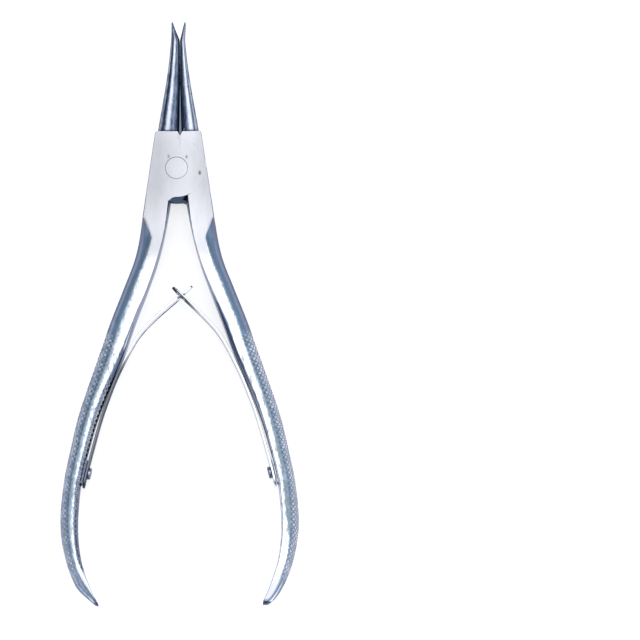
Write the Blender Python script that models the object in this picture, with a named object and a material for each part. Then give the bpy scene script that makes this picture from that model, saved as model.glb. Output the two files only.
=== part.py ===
"""Circlip pliers for outside rings, 140 mm long, lying on their back.

The halves don't cross: each handle carries the jaw of its own side, so squeezing the handles opens
the jaws. The halves are lapped on a flush rivet, and two leaf springs, a tongue in a slot, push the
handles apart.

Metres, +Y towards the tips, +Z up. The origin is on the rivet's axis, at the head's back face.
"""

import math

import bmesh
import bpy
from mathutils import Matrix, Vector

# Head and lap joint
HEAD_THICKNESS = 0.0070
HEAD_TOP = 0.0089
HEAD_TOP_HALF_WIDTH = 0.00538
HEAD_BOTTOM = 0.0129
HEAD_BOTTOM_HALF_WIDTH = 0.00854
SPLIT_FROM_PIVOT = 0.0004
SPLIT_GAP = 0.00010
NOTCH_HALF_WIDTH = 0.0006
NOTCH_DEPTH = 0.00112
LAP_RADIUS = 0.0070
LAP_GAP = 0.00010
LAP_FACE_GAP = 0.00010
CROTCH_STEP = 0.0005
CROTCH_FILLET_LENGTH = 0.0022
CROTCH_FILLET_DROP = 0.0011
CUT_OVERRUN = 0.0010

# Rivet, countersunk and ground flush on both faces
RIVET_SHANK_RADIUS = 0.0019
RIVET_HEAD_RADIUS = 0.0026
RIVET_HEAD_RIM = 0.0003
RIVET_HEAD_CONE = 0.0006
RIVET_GAP = 0.00005

# Handles, measured from the pivot down
HANDLE_REACH = 0.1036
HANDLE_SPREAD = 0.0256
HANDLE_WIDTH = 0.0060

# Jaws, measured from the head's top edge up
JAW_LENGTH = 0.0273
JAW_BASE_WIDTH = 0.00495
JAW_BASE_THICKNESS = 0.0052
JAW_ROOT = 0.0012

# Leaf springs
SPRING_THICKNESS = 0.00055
SPRING_HANDLE_GAP = 0.00017
SPRING_FOOT_DOWN = 0.0758
SPRING_CROSSING_OUT = 0.0006
SPRING_CROSSING_DOWN = 0.0300
SPRING_FOOT_WIDTH = 0.0036
SPRING_NECK_WIDTH = 0.0032
SPRING_FOOT_ROUND = 0.0012
SPRING_FOOT_END_SHARE = 0.55
TONGUE_WIDTH = 0.0013
TONGUE_LENGTH = 0.0034
TONGUE_SHOULDER = 0.0011
SLOT_GAP = 0.0003
SLOT_BEFORE = 0.0012
SLOT_AFTER = 0.0013
SLOTTED_END_LENGTH = 0.0029
SLOTTED_END_WIDTH = 0.0024

# Spring seats and their screws
SEAT_GAP = 0.00010
SEAT_LENGTH = 0.0058
SEAT_WIDTH = 0.0032
SEAT_SINK = 0.0014
SCREW_FROM_FOOT = 0.0036
SCREW_SHANK_RADIUS = 0.0008
SCREW_SHANK_LENGTH = 0.0036
SCREW_HEAD_RADIUS = 0.0014
SCREW_HEAD_HEIGHT = 0.0007
SCREW_SLOT_WIDTH = 0.0004
SCREW_SLOT_DEPTH = 0.00035
SCREW_GAP = 0.00008

# Steps round each shape
QUARTER_STEPS = 5
ROUND_STEPS = 64
LAP_STEPS = 32
SCREW_STEPS = 24
HANDLE_STEPS = 44
SPRING_STEPS = 26
SHARP_ANGLE = math.radians(35)

# Each row: how far out from the split, and how far below the lap, the fillet at the leg goes.
CROTCH_FILLET_SHARES = ((1.00, 1.00), (0.65, 0.25), (0.23, 0.00))

# Each row: how far down the reach, the centre as a share of the spread, and the width and
# thickness as shares of the handle's width and the head's thickness.
HANDLE_SHARES = (
    (0.0633, 0.181, 1.010, 1.00),
    (0.1237, 0.220, 0.975, 1.00),
    (0.2019, 0.290, 0.917, 1.00),
    (0.2754, 0.395, 0.957, 1.00),
    (0.3487, 0.507, 0.975, 1.00),
    (0.4221, 0.610, 0.980, 1.00),
    (0.4956, 0.722, 0.897, 1.00),
    (0.5690, 0.827, 0.818, 1.00),
    (0.6424, 0.905, 0.742, 0.96),
    (0.7158, 0.970, 0.695, 0.91),
    (0.7893, 1.000, 0.700, 0.85),
    (0.8440, 0.998, 0.672, 0.80),
    (0.8994, 0.962, 0.610, 0.73),
    (0.9361, 0.914, 0.580, 0.66),
    (0.9728, 0.848, 0.488, 0.54),
    (0.9914, 0.801, 0.392, 0.42),
    (1.0000, 0.777, 0.233, 0.26),
)

# Each row: how far down the reach, the inner and the outer rounding as shares of the width, and
# the flat wall left on the inner and the outer side as shares of half the thickness.
ROUNDING_SHARES = (
    (0.0633, 0.10, 0.60, 0.03, 0.93),
    (0.1150, 0.11, 0.58, 0.03, 0.93),
    (0.1200, 0.11, 0.58, 0.08, 0.55),
    (0.1580, 0.16, 0.54, 0.50, 0.08),
    (0.2400, 0.26, 0.50, 0.52, 0.04),
    (1.0000, 0.34, 0.45, 0.55, 0.04),
)

# Each row: how far up the jaw, its inner and outer side as shares of the base width, and its
# thickness as a share of the base thickness.
JAW_SHARES = (
    (0.0000, 0.085, 1.000, 1.00),
    (0.1500, 0.058, 0.865, 0.90),
    (0.4400, 0.012, 0.595, 0.69),
    (0.6300, 0.012, 0.450, 0.55),
    (0.8400, 0.014, 0.335, 0.42),
    (0.9200, 0.135, 0.320, 0.30),
    (1.0000, 0.245, 0.315, 0.17),
)
JAW_INNER_ROUND_SHARE = 0.42
JAW_INNER_WALL_SHARE = 0.30

# Each row: the way from a spring's foot to the crossing, and how far the blade has left the
# handle by then, as a share of its distance from the handle at the crossing.
SPRING_LEAVING_SHARES = (
    (0.000, 0.030),
    (0.126, 0.047),
    (0.293, 0.043),
    (0.461, 0.015),
    (0.544, 0.002),
    (0.628, 0.018),
    (0.711, 0.065),
    (0.795, 0.195),
    (0.878, 0.470),
    (1.000, 1.000),
)

STEEL = {
    "ground_steel": ((0.62, 0.62, 0.67, 1.0), 0.38),
    "polished_steel": ((0.42, 0.46, 0.55, 1.0), 0.18),
    "spring_steel": ((0.50, 0.52, 0.58, 1.0), 0.22),
}

MIDDLE = HEAD_THICKNESS / 2
LEFT, RIGHT = -1, 1


def remove_everything():
    for old in list(bpy.data.objects):
        bpy.data.objects.remove(old, do_unlink=True)


def steel(name):
    colour, roughness = STEEL[name]
    made = bpy.data.materials.get(name) or bpy.data.materials.new(name)
    made.use_nodes = True
    shader = made.node_tree.nodes["Principled BSDF"]
    shader.inputs["Base Color"].default_value = colour
    shader.inputs["Metallic"].default_value = 1.0
    shader.inputs["Roughness"].default_value = roughness
    return made


def object_from(name, shape, material=None):
    bmesh.ops.recalc_face_normals(shape, faces=shape.faces)
    mesh = bpy.data.meshes.new(name)
    shape.to_mesh(mesh)
    shape.free()
    made = bpy.data.objects.new(name, mesh)
    bpy.context.scene.collection.objects.link(made)
    if material:
        mesh.materials.append(steel(material))
        mesh.shade_smooth()
        mesh.set_sharp_from_angle(angle=SHARP_ANGLE)
    return made


def combine(target, tool, operation):
    """Joins or cuts a shape with a guide that stays out of the model."""
    tool.hide_render = True
    tool.display_type = "WIRE"
    step = target.modifiers.new(tool.name, "BOOLEAN")
    step.operation = operation
    step.solver = "EXACT"
    step.object = tool


def interpolated(rows, at):
    """The other columns of a table of shares, on straight lines between its rows."""
    if at <= rows[0][0]:
        return rows[0][1:]
    for low, high in zip(rows, rows[1:]):
        if at <= high[0]:
            along = (at - low[0]) / (high[0] - low[0])
            return tuple(a + (b - a) * along for a, b in zip(low[1:], high[1:]))
    return rows[-1][1:]


def smooth_between(rows, at):
    """The other columns of a table of shares, on a smooth curve through its rows."""
    last = len(rows) - 1
    n = min(max(sum(row[0] <= at for row in rows) - 1, 0), last - 1)
    low, high = rows[n], rows[n + 1]
    before, after = rows[max(n - 1, 0)], rows[min(n + 2, last)]
    span = high[0] - low[0]
    t = min(max((at - low[0]) / span, 0), 1)
    found = []
    for a, b, c, d in zip(before[1:], low[1:], high[1:], after[1:]):
        slope_low = (c - a) / (high[0] - before[0]) * span
        slope_high = (d - b) / (after[0] - low[0]) * span
        square, cube = t * t, t * t * t
        found.append(
            b * (2 * cube - 3 * square + 1)
            + slope_low * (cube - 2 * square + t)
            + c * (3 * square - 2 * cube)
            + slope_high * (cube - square)
        )
    return tuple(found)


def section(inner, outer, half_height, inner_round, inner_wall, outer_round, outer_wall):
    """A ring of (out, up) points: flat top and bottom, a rounded inner and outer side."""
    quarter = [math.pi / 2 * n / QUARTER_STEPS for n in range(QUARTER_STEPS + 1)]
    top = [
        (
            inner + inner_round * (1 - math.cos(turn)),
            inner_wall + (half_height - inner_wall) * math.sin(turn),
        )
        for turn in quarter
    ]
    top += [
        (
            outer - outer_round * (1 - math.sin(turn)),
            outer_wall + (half_height - outer_wall) * math.cos(turn),
        )
        for turn in quarter
    ]
    return top + [(out, -up) for out, up in reversed(top)]


def loft(rings):
    """A closed shape through rings of the same number of points."""
    shape = bmesh.new()
    rows = [[shape.verts.new(point) for point in ring] for ring in rings]
    for first, second in zip(rows, rows[1:]):
        for n in range(len(first)):
            after = (n + 1) % len(first)
            shape.faces.new((first[n], first[after], second[after], second[n]))
    shape.faces.new(rows[0])
    shape.faces.new(rows[-1])
    return shape


def prism(outline, low, high):
    """A flat outline of (x, y) points, raised from one height to another."""
    return loft([[(x, y, level) for x, y in outline] for level in (low, high)])


def turned(profile, steps):
    """A solid of revolution about Z through (radius, height) points."""
    rings = []
    for radius, height in profile:
        turns = [2 * math.pi * n / steps for n in range(steps)]
        rings.append([(radius * math.cos(a), radius * math.sin(a), height) for a in turns])
    return loft(rings)


def out_from_split(side, out):
    return SPLIT_FROM_PIVOT + side * out


def head_half_width(y):
    """The head's straight side, as a distance from the split."""
    along = (HEAD_TOP - y) / (HEAD_TOP + HEAD_BOTTOM)
    return HEAD_TOP_HALF_WIDTH + (HEAD_BOTTOM_HALF_WIDTH - HEAD_TOP_HALF_WIDTH) * along


def head_ring(side, y, inner):
    """A ring of the head between the jaw and the crotch, flat on both faces."""
    width = head_half_width(y) - inner
    _, _, outer_round, outer_wall = ROUNDING_SHARES[0][1:]
    half = MIDDLE
    ring = section(
        inner, inner + width, half, 0, half * outer_wall, width * outer_round, half * outer_wall
    )
    return [(out_from_split(side, out), y, MIDDLE + up) for out, up in ring]


def handle_ring(side, down):
    """A ring of the leg or the handle, by its share of the reach."""
    centre, width, thick = smooth_between(HANDLE_SHARES, down)
    inner_round, inner_wall, outer_round, outer_wall = interpolated(ROUNDING_SHARES, down)
    width *= HANDLE_WIDTH
    half = MIDDLE * min(thick, 1)
    y = -down * HANDLE_REACH
    inner = centre * HANDLE_SPREAD - width / 2
    outer = head_half_width(y) if y > -HEAD_BOTTOM else inner + width
    ring = section(
        inner,
        outer,
        half,
        width * inner_round,
        half * inner_wall,
        width * outer_round,
        half * outer_wall,
    )
    return [(out_from_split(side, out), y, MIDDLE + up) for out, up in ring]


def side_shape(side):
    """The head, leg and handle of one side in one piece, before the lap is cut."""
    inner = SPLIT_GAP / 2
    rings = [
        head_ring(side, HEAD_TOP, NOTCH_HALF_WIDTH),
        head_ring(side, HEAD_TOP - NOTCH_DEPTH, inner),
        head_ring(side, 0, inner),
        head_ring(side, CROTCH_STEP - HANDLE_SHARES[0][0] * HANDLE_REACH, inner),
    ]
    first = HANDLE_SHARES[0][0]
    edge_rows = [row[0] for row in ROUNDING_SHARES[1:4]]
    shares = [first + (1 - first) * n / HANDLE_STEPS for n in range(HANDLE_STEPS + 1)]
    shares += edge_rows + [HANDLE_SHARES[-2][0]]
    rings += [handle_ring(side, share) for share in sorted(shares)]
    return loft(rings)


def jaw_shape(side):
    """A tapered round jaw, flattened on its inner side and relieved at the tip."""
    rings = []
    for up, inner, outer, thick in ((-JAW_ROOT / JAW_LENGTH,) + JAW_SHARES[0][1:],) + JAW_SHARES:
        inner *= JAW_BASE_WIDTH
        outer *= JAW_BASE_WIDTH
        half = thick * JAW_BASE_THICKNESS / 2
        inner_round = (outer - inner) * JAW_INNER_ROUND_SHARE
        ring = section(
            inner,
            outer,
            half,
            inner_round,
            half * JAW_INNER_WALL_SHARE,
            outer - inner - inner_round,
            0,
        )
        # the two middle points of the outer side meet, so one is dropped
        ring = [point for n, point in enumerate(ring) if n != 2 * QUARTER_STEPS + 2]
        y = HEAD_TOP + up * JAW_LENGTH
        rings.append([(out_from_split(side, out), y, MIDDLE + level) for out, level in ring])
    return loft(rings)


def circle(radius, steps=ROUND_STEPS):
    turns = [2 * math.pi * n / steps for n in range(steps)]
    return [(radius * math.cos(a), radius * math.sin(a)) for a in turns]


def layer(side, gap):
    """The lower and upper height of the layer that holds a side's lap."""
    if side == LEFT:
        return MIDDLE + gap, HEAD_THICKNESS
    return 0, MIDDLE - gap


def lap_shape(side):
    """The round lap over the other half, kept inside the head's side, with a fillet at its leg."""
    points = []
    for n in range(LAP_STEPS + 1):
        turn = math.pi * (n / LAP_STEPS - 1 / 2)
        y = LAP_RADIUS * math.sin(turn)
        furthest = head_half_width(y) - side * SPLIT_FROM_PIVOT
        points.append((-side * min(LAP_RADIUS * math.cos(turn), furthest), y))
    points += [
        (side * LAP_RADIUS / 2, LAP_RADIUS / 2),
        (side * LAP_RADIUS / 2, -LAP_RADIUS - CROTCH_FILLET_DROP),
    ]
    for out_share, drop_share in CROTCH_FILLET_SHARES:
        x = out_from_split(side, out_share * CROTCH_FILLET_LENGTH)
        points.append((x, -math.sqrt(LAP_RADIUS**2 - x**2) - drop_share * CROTCH_FILLET_DROP))
    return prism(points, *layer(side, LAP_FACE_GAP / 2))


def rivet_profile(gap, overrun):
    """The rivet's turned outline, or with a gap and an overrun its bore's."""
    rim = RIVET_HEAD_RIM
    cone = rim + RIVET_HEAD_CONE
    return [
        (RIVET_HEAD_RADIUS + gap, -overrun),
        (RIVET_HEAD_RADIUS + gap, rim),
        (RIVET_SHANK_RADIUS + gap, cone),
        (RIVET_SHANK_RADIUS + gap, HEAD_THICKNESS - cone),
        (RIVET_HEAD_RADIUS + gap, HEAD_THICKNESS - rim),
        (RIVET_HEAD_RADIUS + gap, HEAD_THICKNESS + overrun),
    ]


def beside_handle(down):
    """How far out the middle of a blade lies where it runs along the handle's inner side."""
    centre, width, _ = smooth_between(HANDLE_SHARES, down / HANDLE_REACH)
    inner = centre * HANDLE_SPREAD - width * HANDLE_WIDTH / 2
    return inner - SPRING_HANDLE_GAP - SPRING_THICKNESS / 2


def spring_point(side, way):
    """The middle of a blade at a share of its way from foot to crossing."""
    (left_handle,) = smooth_between(SPRING_LEAVING_SHARES, way)
    furthest = beside_handle(SPRING_CROSSING_DOWN) - side * SPRING_CROSSING_OUT
    down = SPRING_FOOT_DOWN + way * (SPRING_CROSSING_DOWN - SPRING_FOOT_DOWN)
    out = beside_handle(down) - left_handle * furthest
    return Vector((out_from_split(side, out), -down, MIDDLE))


def spring_route(side, past):
    """Points along a blade, from its foot to a length past the crossing."""
    points = [spring_point(side, n / SPRING_STEPS) for n in range(SPRING_STEPS + 1)]
    ahead = (points[-1] - points[-2]).normalized()
    return points, points[-1] + ahead * past


def distances(points):
    """How far along the route each point lies."""
    found = [0.0]
    for first, second in zip(points, points[1:]):
        found.append(found[-1] + (second - first).length)
    return found


def blade_ring(points, n, width):
    before, after = points[max(n - 1, 0)], points[min(n + 1, len(points) - 1)]
    ahead = (after - before).normalized()
    across = Vector((ahead.y, -ahead.x, 0)) * SPRING_THICKNESS / 2
    up = Vector((0, 0, width / 2))
    centre = points[n]
    return [centre - across - up, centre + across - up, centre + across + up, centre - across + up]


def blade_shape(side, past, widths_past):
    """A ribbon on edge, from the foot to the crossing, then past it by rows of (length, width)."""
    points, end = spring_route(side, past)
    crossing = points[-1]
    ahead = (end - crossing).normalized()
    clear = SPRING_THICKNESS - widths_past[0][0]
    kept = [point for point in points if (point - crossing).length > clear]
    along = distances(kept)
    widths = []
    for length in along:
        narrowing = SPRING_FOOT_WIDTH + (SPRING_NECK_WIDTH - SPRING_FOOT_WIDTH) * length / along[-1]
        foot = math.sqrt(1 - (1 - min(length / SPRING_FOOT_ROUND, 1)) ** 2)
        widths.append(narrowing * (SPRING_FOOT_END_SHARE + (1 - SPRING_FOOT_END_SHARE) * foot))
    for length, width in widths_past:
        kept.append(crossing + ahead * length)
        widths.append(width)
    rings = [blade_ring(kept, n, width) for n, width in enumerate(widths)]
    return loft(rings)


def seat_frame(side):
    """Where a screw's axis meets the blade, and the axis's direction towards the middle."""
    points, _ = spring_route(side, TONGUE_LENGTH)
    along = distances(points)
    n = next(i for i, length in enumerate(along) if length > SCREW_FROM_FOOT)
    part_way = (SCREW_FROM_FOOT - along[n - 1]) / (along[n] - along[n - 1])
    centre = points[n - 1].lerp(points[n], part_way)
    ahead = (points[n] - points[n - 1]).normalized()
    inwards = Vector((-ahead.y, ahead.x, 0)) * side
    return centre, ahead, inwards


def placed(shape, side):
    """Turns a shape made about Z so that Z is the screw's axis, at the blade's middle."""
    centre, ahead, inwards = seat_frame(side)
    sideways = inwards.cross(ahead)
    turn = Matrix((ahead, sideways, inwards)).transposed().to_4x4()
    bmesh.ops.transform(shape, matrix=Matrix.Translation(centre) @ turn, verts=shape.verts)
    return shape


def box(length, width, low, high):
    """A block about Z, from one height to another."""
    corners = [(-1, -1), (1, -1), (1, 1), (-1, 1)]
    return prism([(x * length / 2, y * width / 2) for x, y in corners], low, high)


def seat_shape(side):
    """The flat pad on the handle's inner side that the blade is screwed to."""
    top = -SPRING_THICKNESS / 2 - SEAT_GAP
    return placed(box(SEAT_LENGTH, SEAT_WIDTH, top - SEAT_SINK, top), side)


def screw_bore(side, low, high):
    profile = [(SCREW_SHANK_RADIUS + SCREW_GAP, low), (SCREW_SHANK_RADIUS + SCREW_GAP, high)]
    return placed(turned(profile, SCREW_STEPS), side)


def half(side, name):
    made = object_from(name, side_shape(side), "ground_steel")
    combine(made, object_from(f"lap_{side}", lap_shape(side)), "UNION")
    combine(made, object_from(f"jaw_{side}", jaw_shape(side)), "UNION")
    combine(made, object_from(f"spring_seat_{side}", seat_shape(side)), "UNION")
    low, high = layer(-side, -LAP_FACE_GAP / 2)
    low -= CUT_OVERRUN if side == LEFT else 0
    high += CUT_OVERRUN if side == RIGHT else 0
    pocket = prism(circle(LAP_RADIUS + LAP_GAP), low, high)
    combine(made, object_from(f"lap_pocket_{side}", pocket), "DIFFERENCE")
    rivet_bore = turned(rivet_profile(RIVET_GAP, CUT_OVERRUN), ROUND_STEPS)
    combine(made, object_from(f"rivet_bore_{side}", rivet_bore), "DIFFERENCE")
    bottom = -SCREW_SHANK_LENGTH - SCREW_GAP
    bore = screw_bore(side, bottom, SPRING_THICKNESS)
    combine(made, object_from(f"screw_bore_{side}", bore), "DIFFERENCE")


def left_spring():
    """The blade that ends in a tongue."""
    widths = [
        (-TONGUE_SHOULDER, SPRING_NECK_WIDTH),
        (-TONGUE_SHOULDER + SPRING_THICKNESS / 2, TONGUE_WIDTH),
        (TONGUE_LENGTH - TONGUE_WIDTH / 2, TONGUE_WIDTH),
        (TONGUE_LENGTH, TONGUE_WIDTH / 2),
    ]
    made = object_from("left_leaf_spring", blade_shape(LEFT, TONGUE_LENGTH, widths), "spring_steel")
    hole = screw_bore(LEFT, -SPRING_THICKNESS, SPRING_THICKNESS)
    combine(made, object_from("left_spring_hole", hole), "DIFFERENCE")


def right_spring():
    """The blade whose end is slotted for the tongue."""
    widths = [
        (-SLOT_BEFORE - SPRING_THICKNESS, SPRING_NECK_WIDTH),
        (SLOT_AFTER, SPRING_NECK_WIDTH),
        (SLOTTED_END_LENGTH - SPRING_THICKNESS, SLOTTED_END_WIDTH),
        (SLOTTED_END_LENGTH, SLOTTED_END_WIDTH / 2),
    ]
    shape = blade_shape(RIGHT, SLOTTED_END_LENGTH, widths)
    made = object_from("right_leaf_spring", shape, "spring_steel")
    hole = screw_bore(RIGHT, -SPRING_THICKNESS, SPRING_THICKNESS)
    combine(made, object_from("right_spring_hole", hole), "DIFFERENCE")
    points, end = spring_route(RIGHT, SLOT_AFTER)
    crossing = points[-1]
    ahead = (end - crossing).normalized()
    sideways = Vector((-ahead.y, ahead.x, 0))
    width = TONGUE_WIDTH + 2 * SLOT_GAP
    slot = box(SLOT_BEFORE + SLOT_AFTER, width, -SPRING_THICKNESS, SPRING_THICKNESS)
    turn = Matrix((ahead, Vector((0, 0, 1)), sideways)).transposed().to_4x4()
    centre = crossing + ahead * (SLOT_AFTER - SLOT_BEFORE) / 2
    bmesh.ops.transform(slot, matrix=Matrix.Translation(centre) @ turn, verts=slot.verts)
    combine(made, object_from("right_spring_slot", slot), "DIFFERENCE")


def spring_screw(side, name):
    """A slotted cheese-head screw through a blade's foot into its handle."""
    seat = SPRING_THICKNESS / 2 + SEAT_GAP
    top = seat + SCREW_HEAD_HEIGHT
    profile = [
        (SCREW_SHANK_RADIUS, -SCREW_SHANK_LENGTH),
        (SCREW_SHANK_RADIUS, seat),
        (SCREW_HEAD_RADIUS, seat),
        (SCREW_HEAD_RADIUS, top),
    ]
    made = object_from(name, placed(turned(profile, SCREW_STEPS), side), "polished_steel")
    across = 2 * SCREW_HEAD_RADIUS + SCREW_SLOT_WIDTH
    slot = box(across, SCREW_SLOT_WIDTH, top - SCREW_SLOT_DEPTH, top + SCREW_SLOT_DEPTH)
    combine(made, object_from(f"{name}_slot", placed(slot, side)), "DIFFERENCE")


remove_everything()
half(LEFT, "left_half")
half(RIGHT, "right_half")
object_from("pivot_rivet", turned(rivet_profile(0, 0), ROUND_STEPS), "ground_steel")
left_spring()
right_spring()
spring_screw(LEFT, "left_spring_screw")
spring_screw(RIGHT, "right_spring_screw")
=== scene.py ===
import math

import bmesh
import bpy
import numpy as np
from mathutils import Matrix, Vector


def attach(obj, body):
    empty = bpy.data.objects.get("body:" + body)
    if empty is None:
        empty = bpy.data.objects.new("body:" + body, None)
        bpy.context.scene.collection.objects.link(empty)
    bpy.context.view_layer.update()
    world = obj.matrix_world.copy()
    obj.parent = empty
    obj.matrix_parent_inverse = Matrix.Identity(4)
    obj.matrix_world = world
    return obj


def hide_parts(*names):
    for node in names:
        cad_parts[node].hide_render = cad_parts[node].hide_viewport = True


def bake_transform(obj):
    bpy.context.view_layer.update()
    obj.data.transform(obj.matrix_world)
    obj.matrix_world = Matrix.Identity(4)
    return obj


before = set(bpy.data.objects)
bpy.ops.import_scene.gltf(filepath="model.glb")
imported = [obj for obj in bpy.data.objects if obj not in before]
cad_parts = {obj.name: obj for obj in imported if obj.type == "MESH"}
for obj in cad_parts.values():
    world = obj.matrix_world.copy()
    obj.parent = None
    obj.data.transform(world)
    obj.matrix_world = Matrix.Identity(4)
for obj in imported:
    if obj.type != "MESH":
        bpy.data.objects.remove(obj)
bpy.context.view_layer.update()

# Sizes shared with the part's source, in metres
HEAD_THICKNESS = 0.0070
HEAD_TOP = 0.0089
HEAD_TOP_HALF_WIDTH = 0.00538
HEAD_BOTTOM = 0.0129
HEAD_BOTTOM_HALF_WIDTH = 0.00854
SPLIT_FROM_PIVOT = 0.0004
NOTCH_HALF_WIDTH = 0.0006
NOTCH_DEPTH = 0.00112
LAP_RADIUS = 0.0070
CROTCH_STEP = 0.0005
CROTCH_FILLET_LENGTH = 0.0022
CROTCH_FILLET_DROP = 0.0011
CUT_OVERRUN = 0.0010
RIVET_SHANK_RADIUS = 0.0019
RIVET_HEAD_RADIUS = 0.0026
RIVET_HEAD_RIM = 0.0003
RIVET_HEAD_CONE = 0.0006
HANDLE_REACH = 0.1036
HANDLE_SPREAD = 0.0256
HANDLE_WIDTH = 0.0060
JAW_LENGTH = 0.0273
JAW_BASE_WIDTH = 0.00495
JAW_BASE_THICKNESS = 0.0052
JAW_ROOT = 0.0012
SPRING_THICKNESS = 0.00055
SPRING_HANDLE_GAP = 0.00017
SPRING_FOOT_DOWN = 0.0758
SPRING_CROSSING_OUT = 0.0006
SPRING_CROSSING_DOWN = 0.0300
SPRING_FOOT_WIDTH = 0.0036
SPRING_NECK_WIDTH = 0.0032
TONGUE_WIDTH = 0.0013
TONGUE_LENGTH = 0.0034
TONGUE_SHOULDER = 0.0011
SLOT_GAP = 0.0003
SLOT_BEFORE = 0.0012
SLOT_AFTER = 0.0013
SLOTTED_END_LENGTH = 0.0029
SLOTTED_END_WIDTH = 0.0024
SEAT_GAP = 0.00010
SEAT_LENGTH = 0.0058
SEAT_WIDTH = 0.0032
SEAT_SINK = 0.0014
SCREW_FROM_FOOT = 0.0036
SCREW_SHANK_RADIUS = 0.0008
SCREW_SHANK_LENGTH = 0.0036
SCREW_HEAD_RADIUS = 0.0014
SCREW_HEAD_HEIGHT = 0.0007
SCREW_SLOT_WIDTH = 0.0004
SCREW_SLOT_DEPTH = 0.00035
SCREW_GAP = 0.00008
MIDDLE = HEAD_THICKNESS / 2
LEFT, RIGHT = -1, 1
SEAT_TOP = -SPRING_THICKNESS / 2 - SEAT_GAP
SCREW_SEAT = SPRING_THICKNESS / 2 + SEAT_GAP

# Fine fits and softened edges
SEAM_GAP = 0.00001
EDGE_SOFTENING = 0.00006
CORNER_ROUND = 0.0004
NOTCH_FACE_DEPTH = 0.0016
SEAM_OPENING = 0.00022
SEAM_OPENING_DEPTH = 0.0008
SEAM_OPENING_ANGLES = (-78, -61)
SAME_PLACE = 0.000001
SEAT_MARGIN = 0.00001
FLAT_DEPTH = 0.00002

# Each row: how far below the head's top, how far the ring is drawn in, and how far its outer
# corner is cut off, as a share of the corner's round.
CORNER_ROWS = (
    (0.0, EDGE_SOFTENING, 0.6),
    (EDGE_SOFTENING, 0.0, 0.45),
    (CORNER_ROUND * 0.5, 0.0, 0.12),
    (CORNER_ROUND, 0.0, 0.0),
)

# Where the ground face fades into the handle's polish, from and to down the reach
GROUND_FADE = (0.029, 0.019)

# How close to the head's outer side, and how far past the lap's radius, a face still counts
HEAD_SIDE_DEPTH = 0.0003
HEAD_EDGE_DEPTH = 0.0002
LAP_WALL_REACH = 0.0008

# Where painted shade darkens each blade, from where to where before the crossing, where the left
# blade is bright again past it, and where painted shade darkens the right blade's end a little
SHADED_LENGTHS = {LEFT: (0.0012, -0.0002), RIGHT: (0.0075, 0.0004)}
BRIGHT_AGAIN = (0.0012, 0.0004)
END_SHADED_LENGTHS = (0.0003, 0.0011)
END_SHADE = 0.30

# How dark painted shade makes the left blade beside its handle, and over what length from its foot that
# fades
BESIDE_HANDLE_SHADE, BESIDE_HANDLE_SHADE_FROM, BESIDE_HANDLE_SHADE_TO = 0.90, 0.0290, 0.0350

# How dark painted shade makes each handle's seat under its blade
SEAT_SHADE = {LEFT: 0.90, RIGHT: 0.35}

# Knurling, cut into the handles' rounded sides
KNURL_PITCH = 0.00122
KNURL_DEPTH = 0.00017
KNURL_TOP = 0.0390
INNER_KNURL_TOP = 0.0480
KNURL_BOTTOM = 0.0955
KNURL_FADE = 0.0030
KNURL_INNER_SHARE = 0.55
KNURL_OUTER_SHARES = (0.06, 0.26)
STEPS_PER_DIAMOND = 8

# Over what lengths above the knurling and at the tip the rings turn square to the handle
SQUARED_ABOVE = (0.012, 0.004)
SQUARED_AT_TIP = 0.001

# The left handle's end, which is more pointed
POINTED_END = (0.955, 1.0)
POINTED_SHARE, POINTED_SHIFT = 0.45, 0.0007

# What the forgings' finish reads at each point of the surface
MARKS = ("knurl cover", "knurl height", "across", "to inner", "to flank", "inner shade")

# Steps round half of a side's section: inner wall, inner round, crest, outer round, outer wall
WALL_STEPS, INNER_STEPS, CREST_STEPS, OUTER_STEPS, EDGE_STEPS = 2, 12, 6, 28, 1
SIDE_STEPS = (INNER_STEPS, CREST_STEPS, OUTER_STEPS, EDGE_STEPS)
JAW_SECTION_STEPS = (12, 1, 12, 0)
JAW_STEPS = 70
HANDLE_BASE_STEPS = 700
CURVE_STEPS = 48
SLOPE_SHARE = 0.002
SPRING_STEPS = 150
CROSSING_STEP = 1 / 26
BLADE_END_STEPS = 40
OPENING_STEPS = 24
STADIUM_STEPS = 12
ROUND_STEPS = 128
SCREW_STEPS = 48
DOME_STEPS = 5
SHARP_ANGLE = math.radians(38)

# The blades' corners, how near their ends extra rings lie, and a share of their way to the crossing, at
# which no bend is made
BLADE_SOFT_SHARE = 0.22
BLADE_CORNER_STEPS = 3
BLADE_FINE_ENDS = (0, 0.00012, 0.0003, 0.0006, 0.0009, 0.0013)
BLADE_PROBE = 0.0001
SHOULDER_ROUND = (-0.0002, 0.0004)
SLOTTED_END_ROUND = 0.9
BEND_START = 0.62

# The screws' heads: their dome as shares of its height, and how far each slot is turned
SCREW_DOME_SHARE, SCREW_DOME_WIDTH = 0.35, 1.6
SCREW_SLOT_TURN = 28

CROTCH_FILLET_SHARES = ((1.00, 1.00), (0.80, 0.55), (0.65, 0.25), (0.45, 0.07), (0.23, 0.00))

# Each row: how far down the reach, the centre as a share of the spread, and the width and
# thickness as shares of the handle's width and the head's thickness.
HANDLE_SHARES = (
    (0.0633, 0.181, 1.010, 1.00),
    (0.1237, 0.220, 0.975, 1.00),
    (0.2019, 0.290, 0.917, 1.00),
    (0.2754, 0.395, 0.957, 1.00),
    (0.3487, 0.507, 0.975, 1.00),
    (0.4221, 0.610, 0.980, 1.00),
    (0.4956, 0.722, 0.897, 1.00),
    (0.5690, 0.827, 0.818, 1.00),
    (0.6424, 0.905, 0.742, 0.96),
    (0.7158, 0.970, 0.695, 0.91),
    (0.7893, 1.000, 0.700, 0.85),
    (0.8440, 0.998, 0.672, 0.80),
    (0.8994, 0.962, 0.610, 0.73),
    (0.9361, 0.914, 0.580, 0.66),
    (0.9728, 0.848, 0.488, 0.54),
    (0.9914, 0.801, 0.392, 0.42),
    (1.0000, 0.777, 0.233, 0.26),
)

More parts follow.
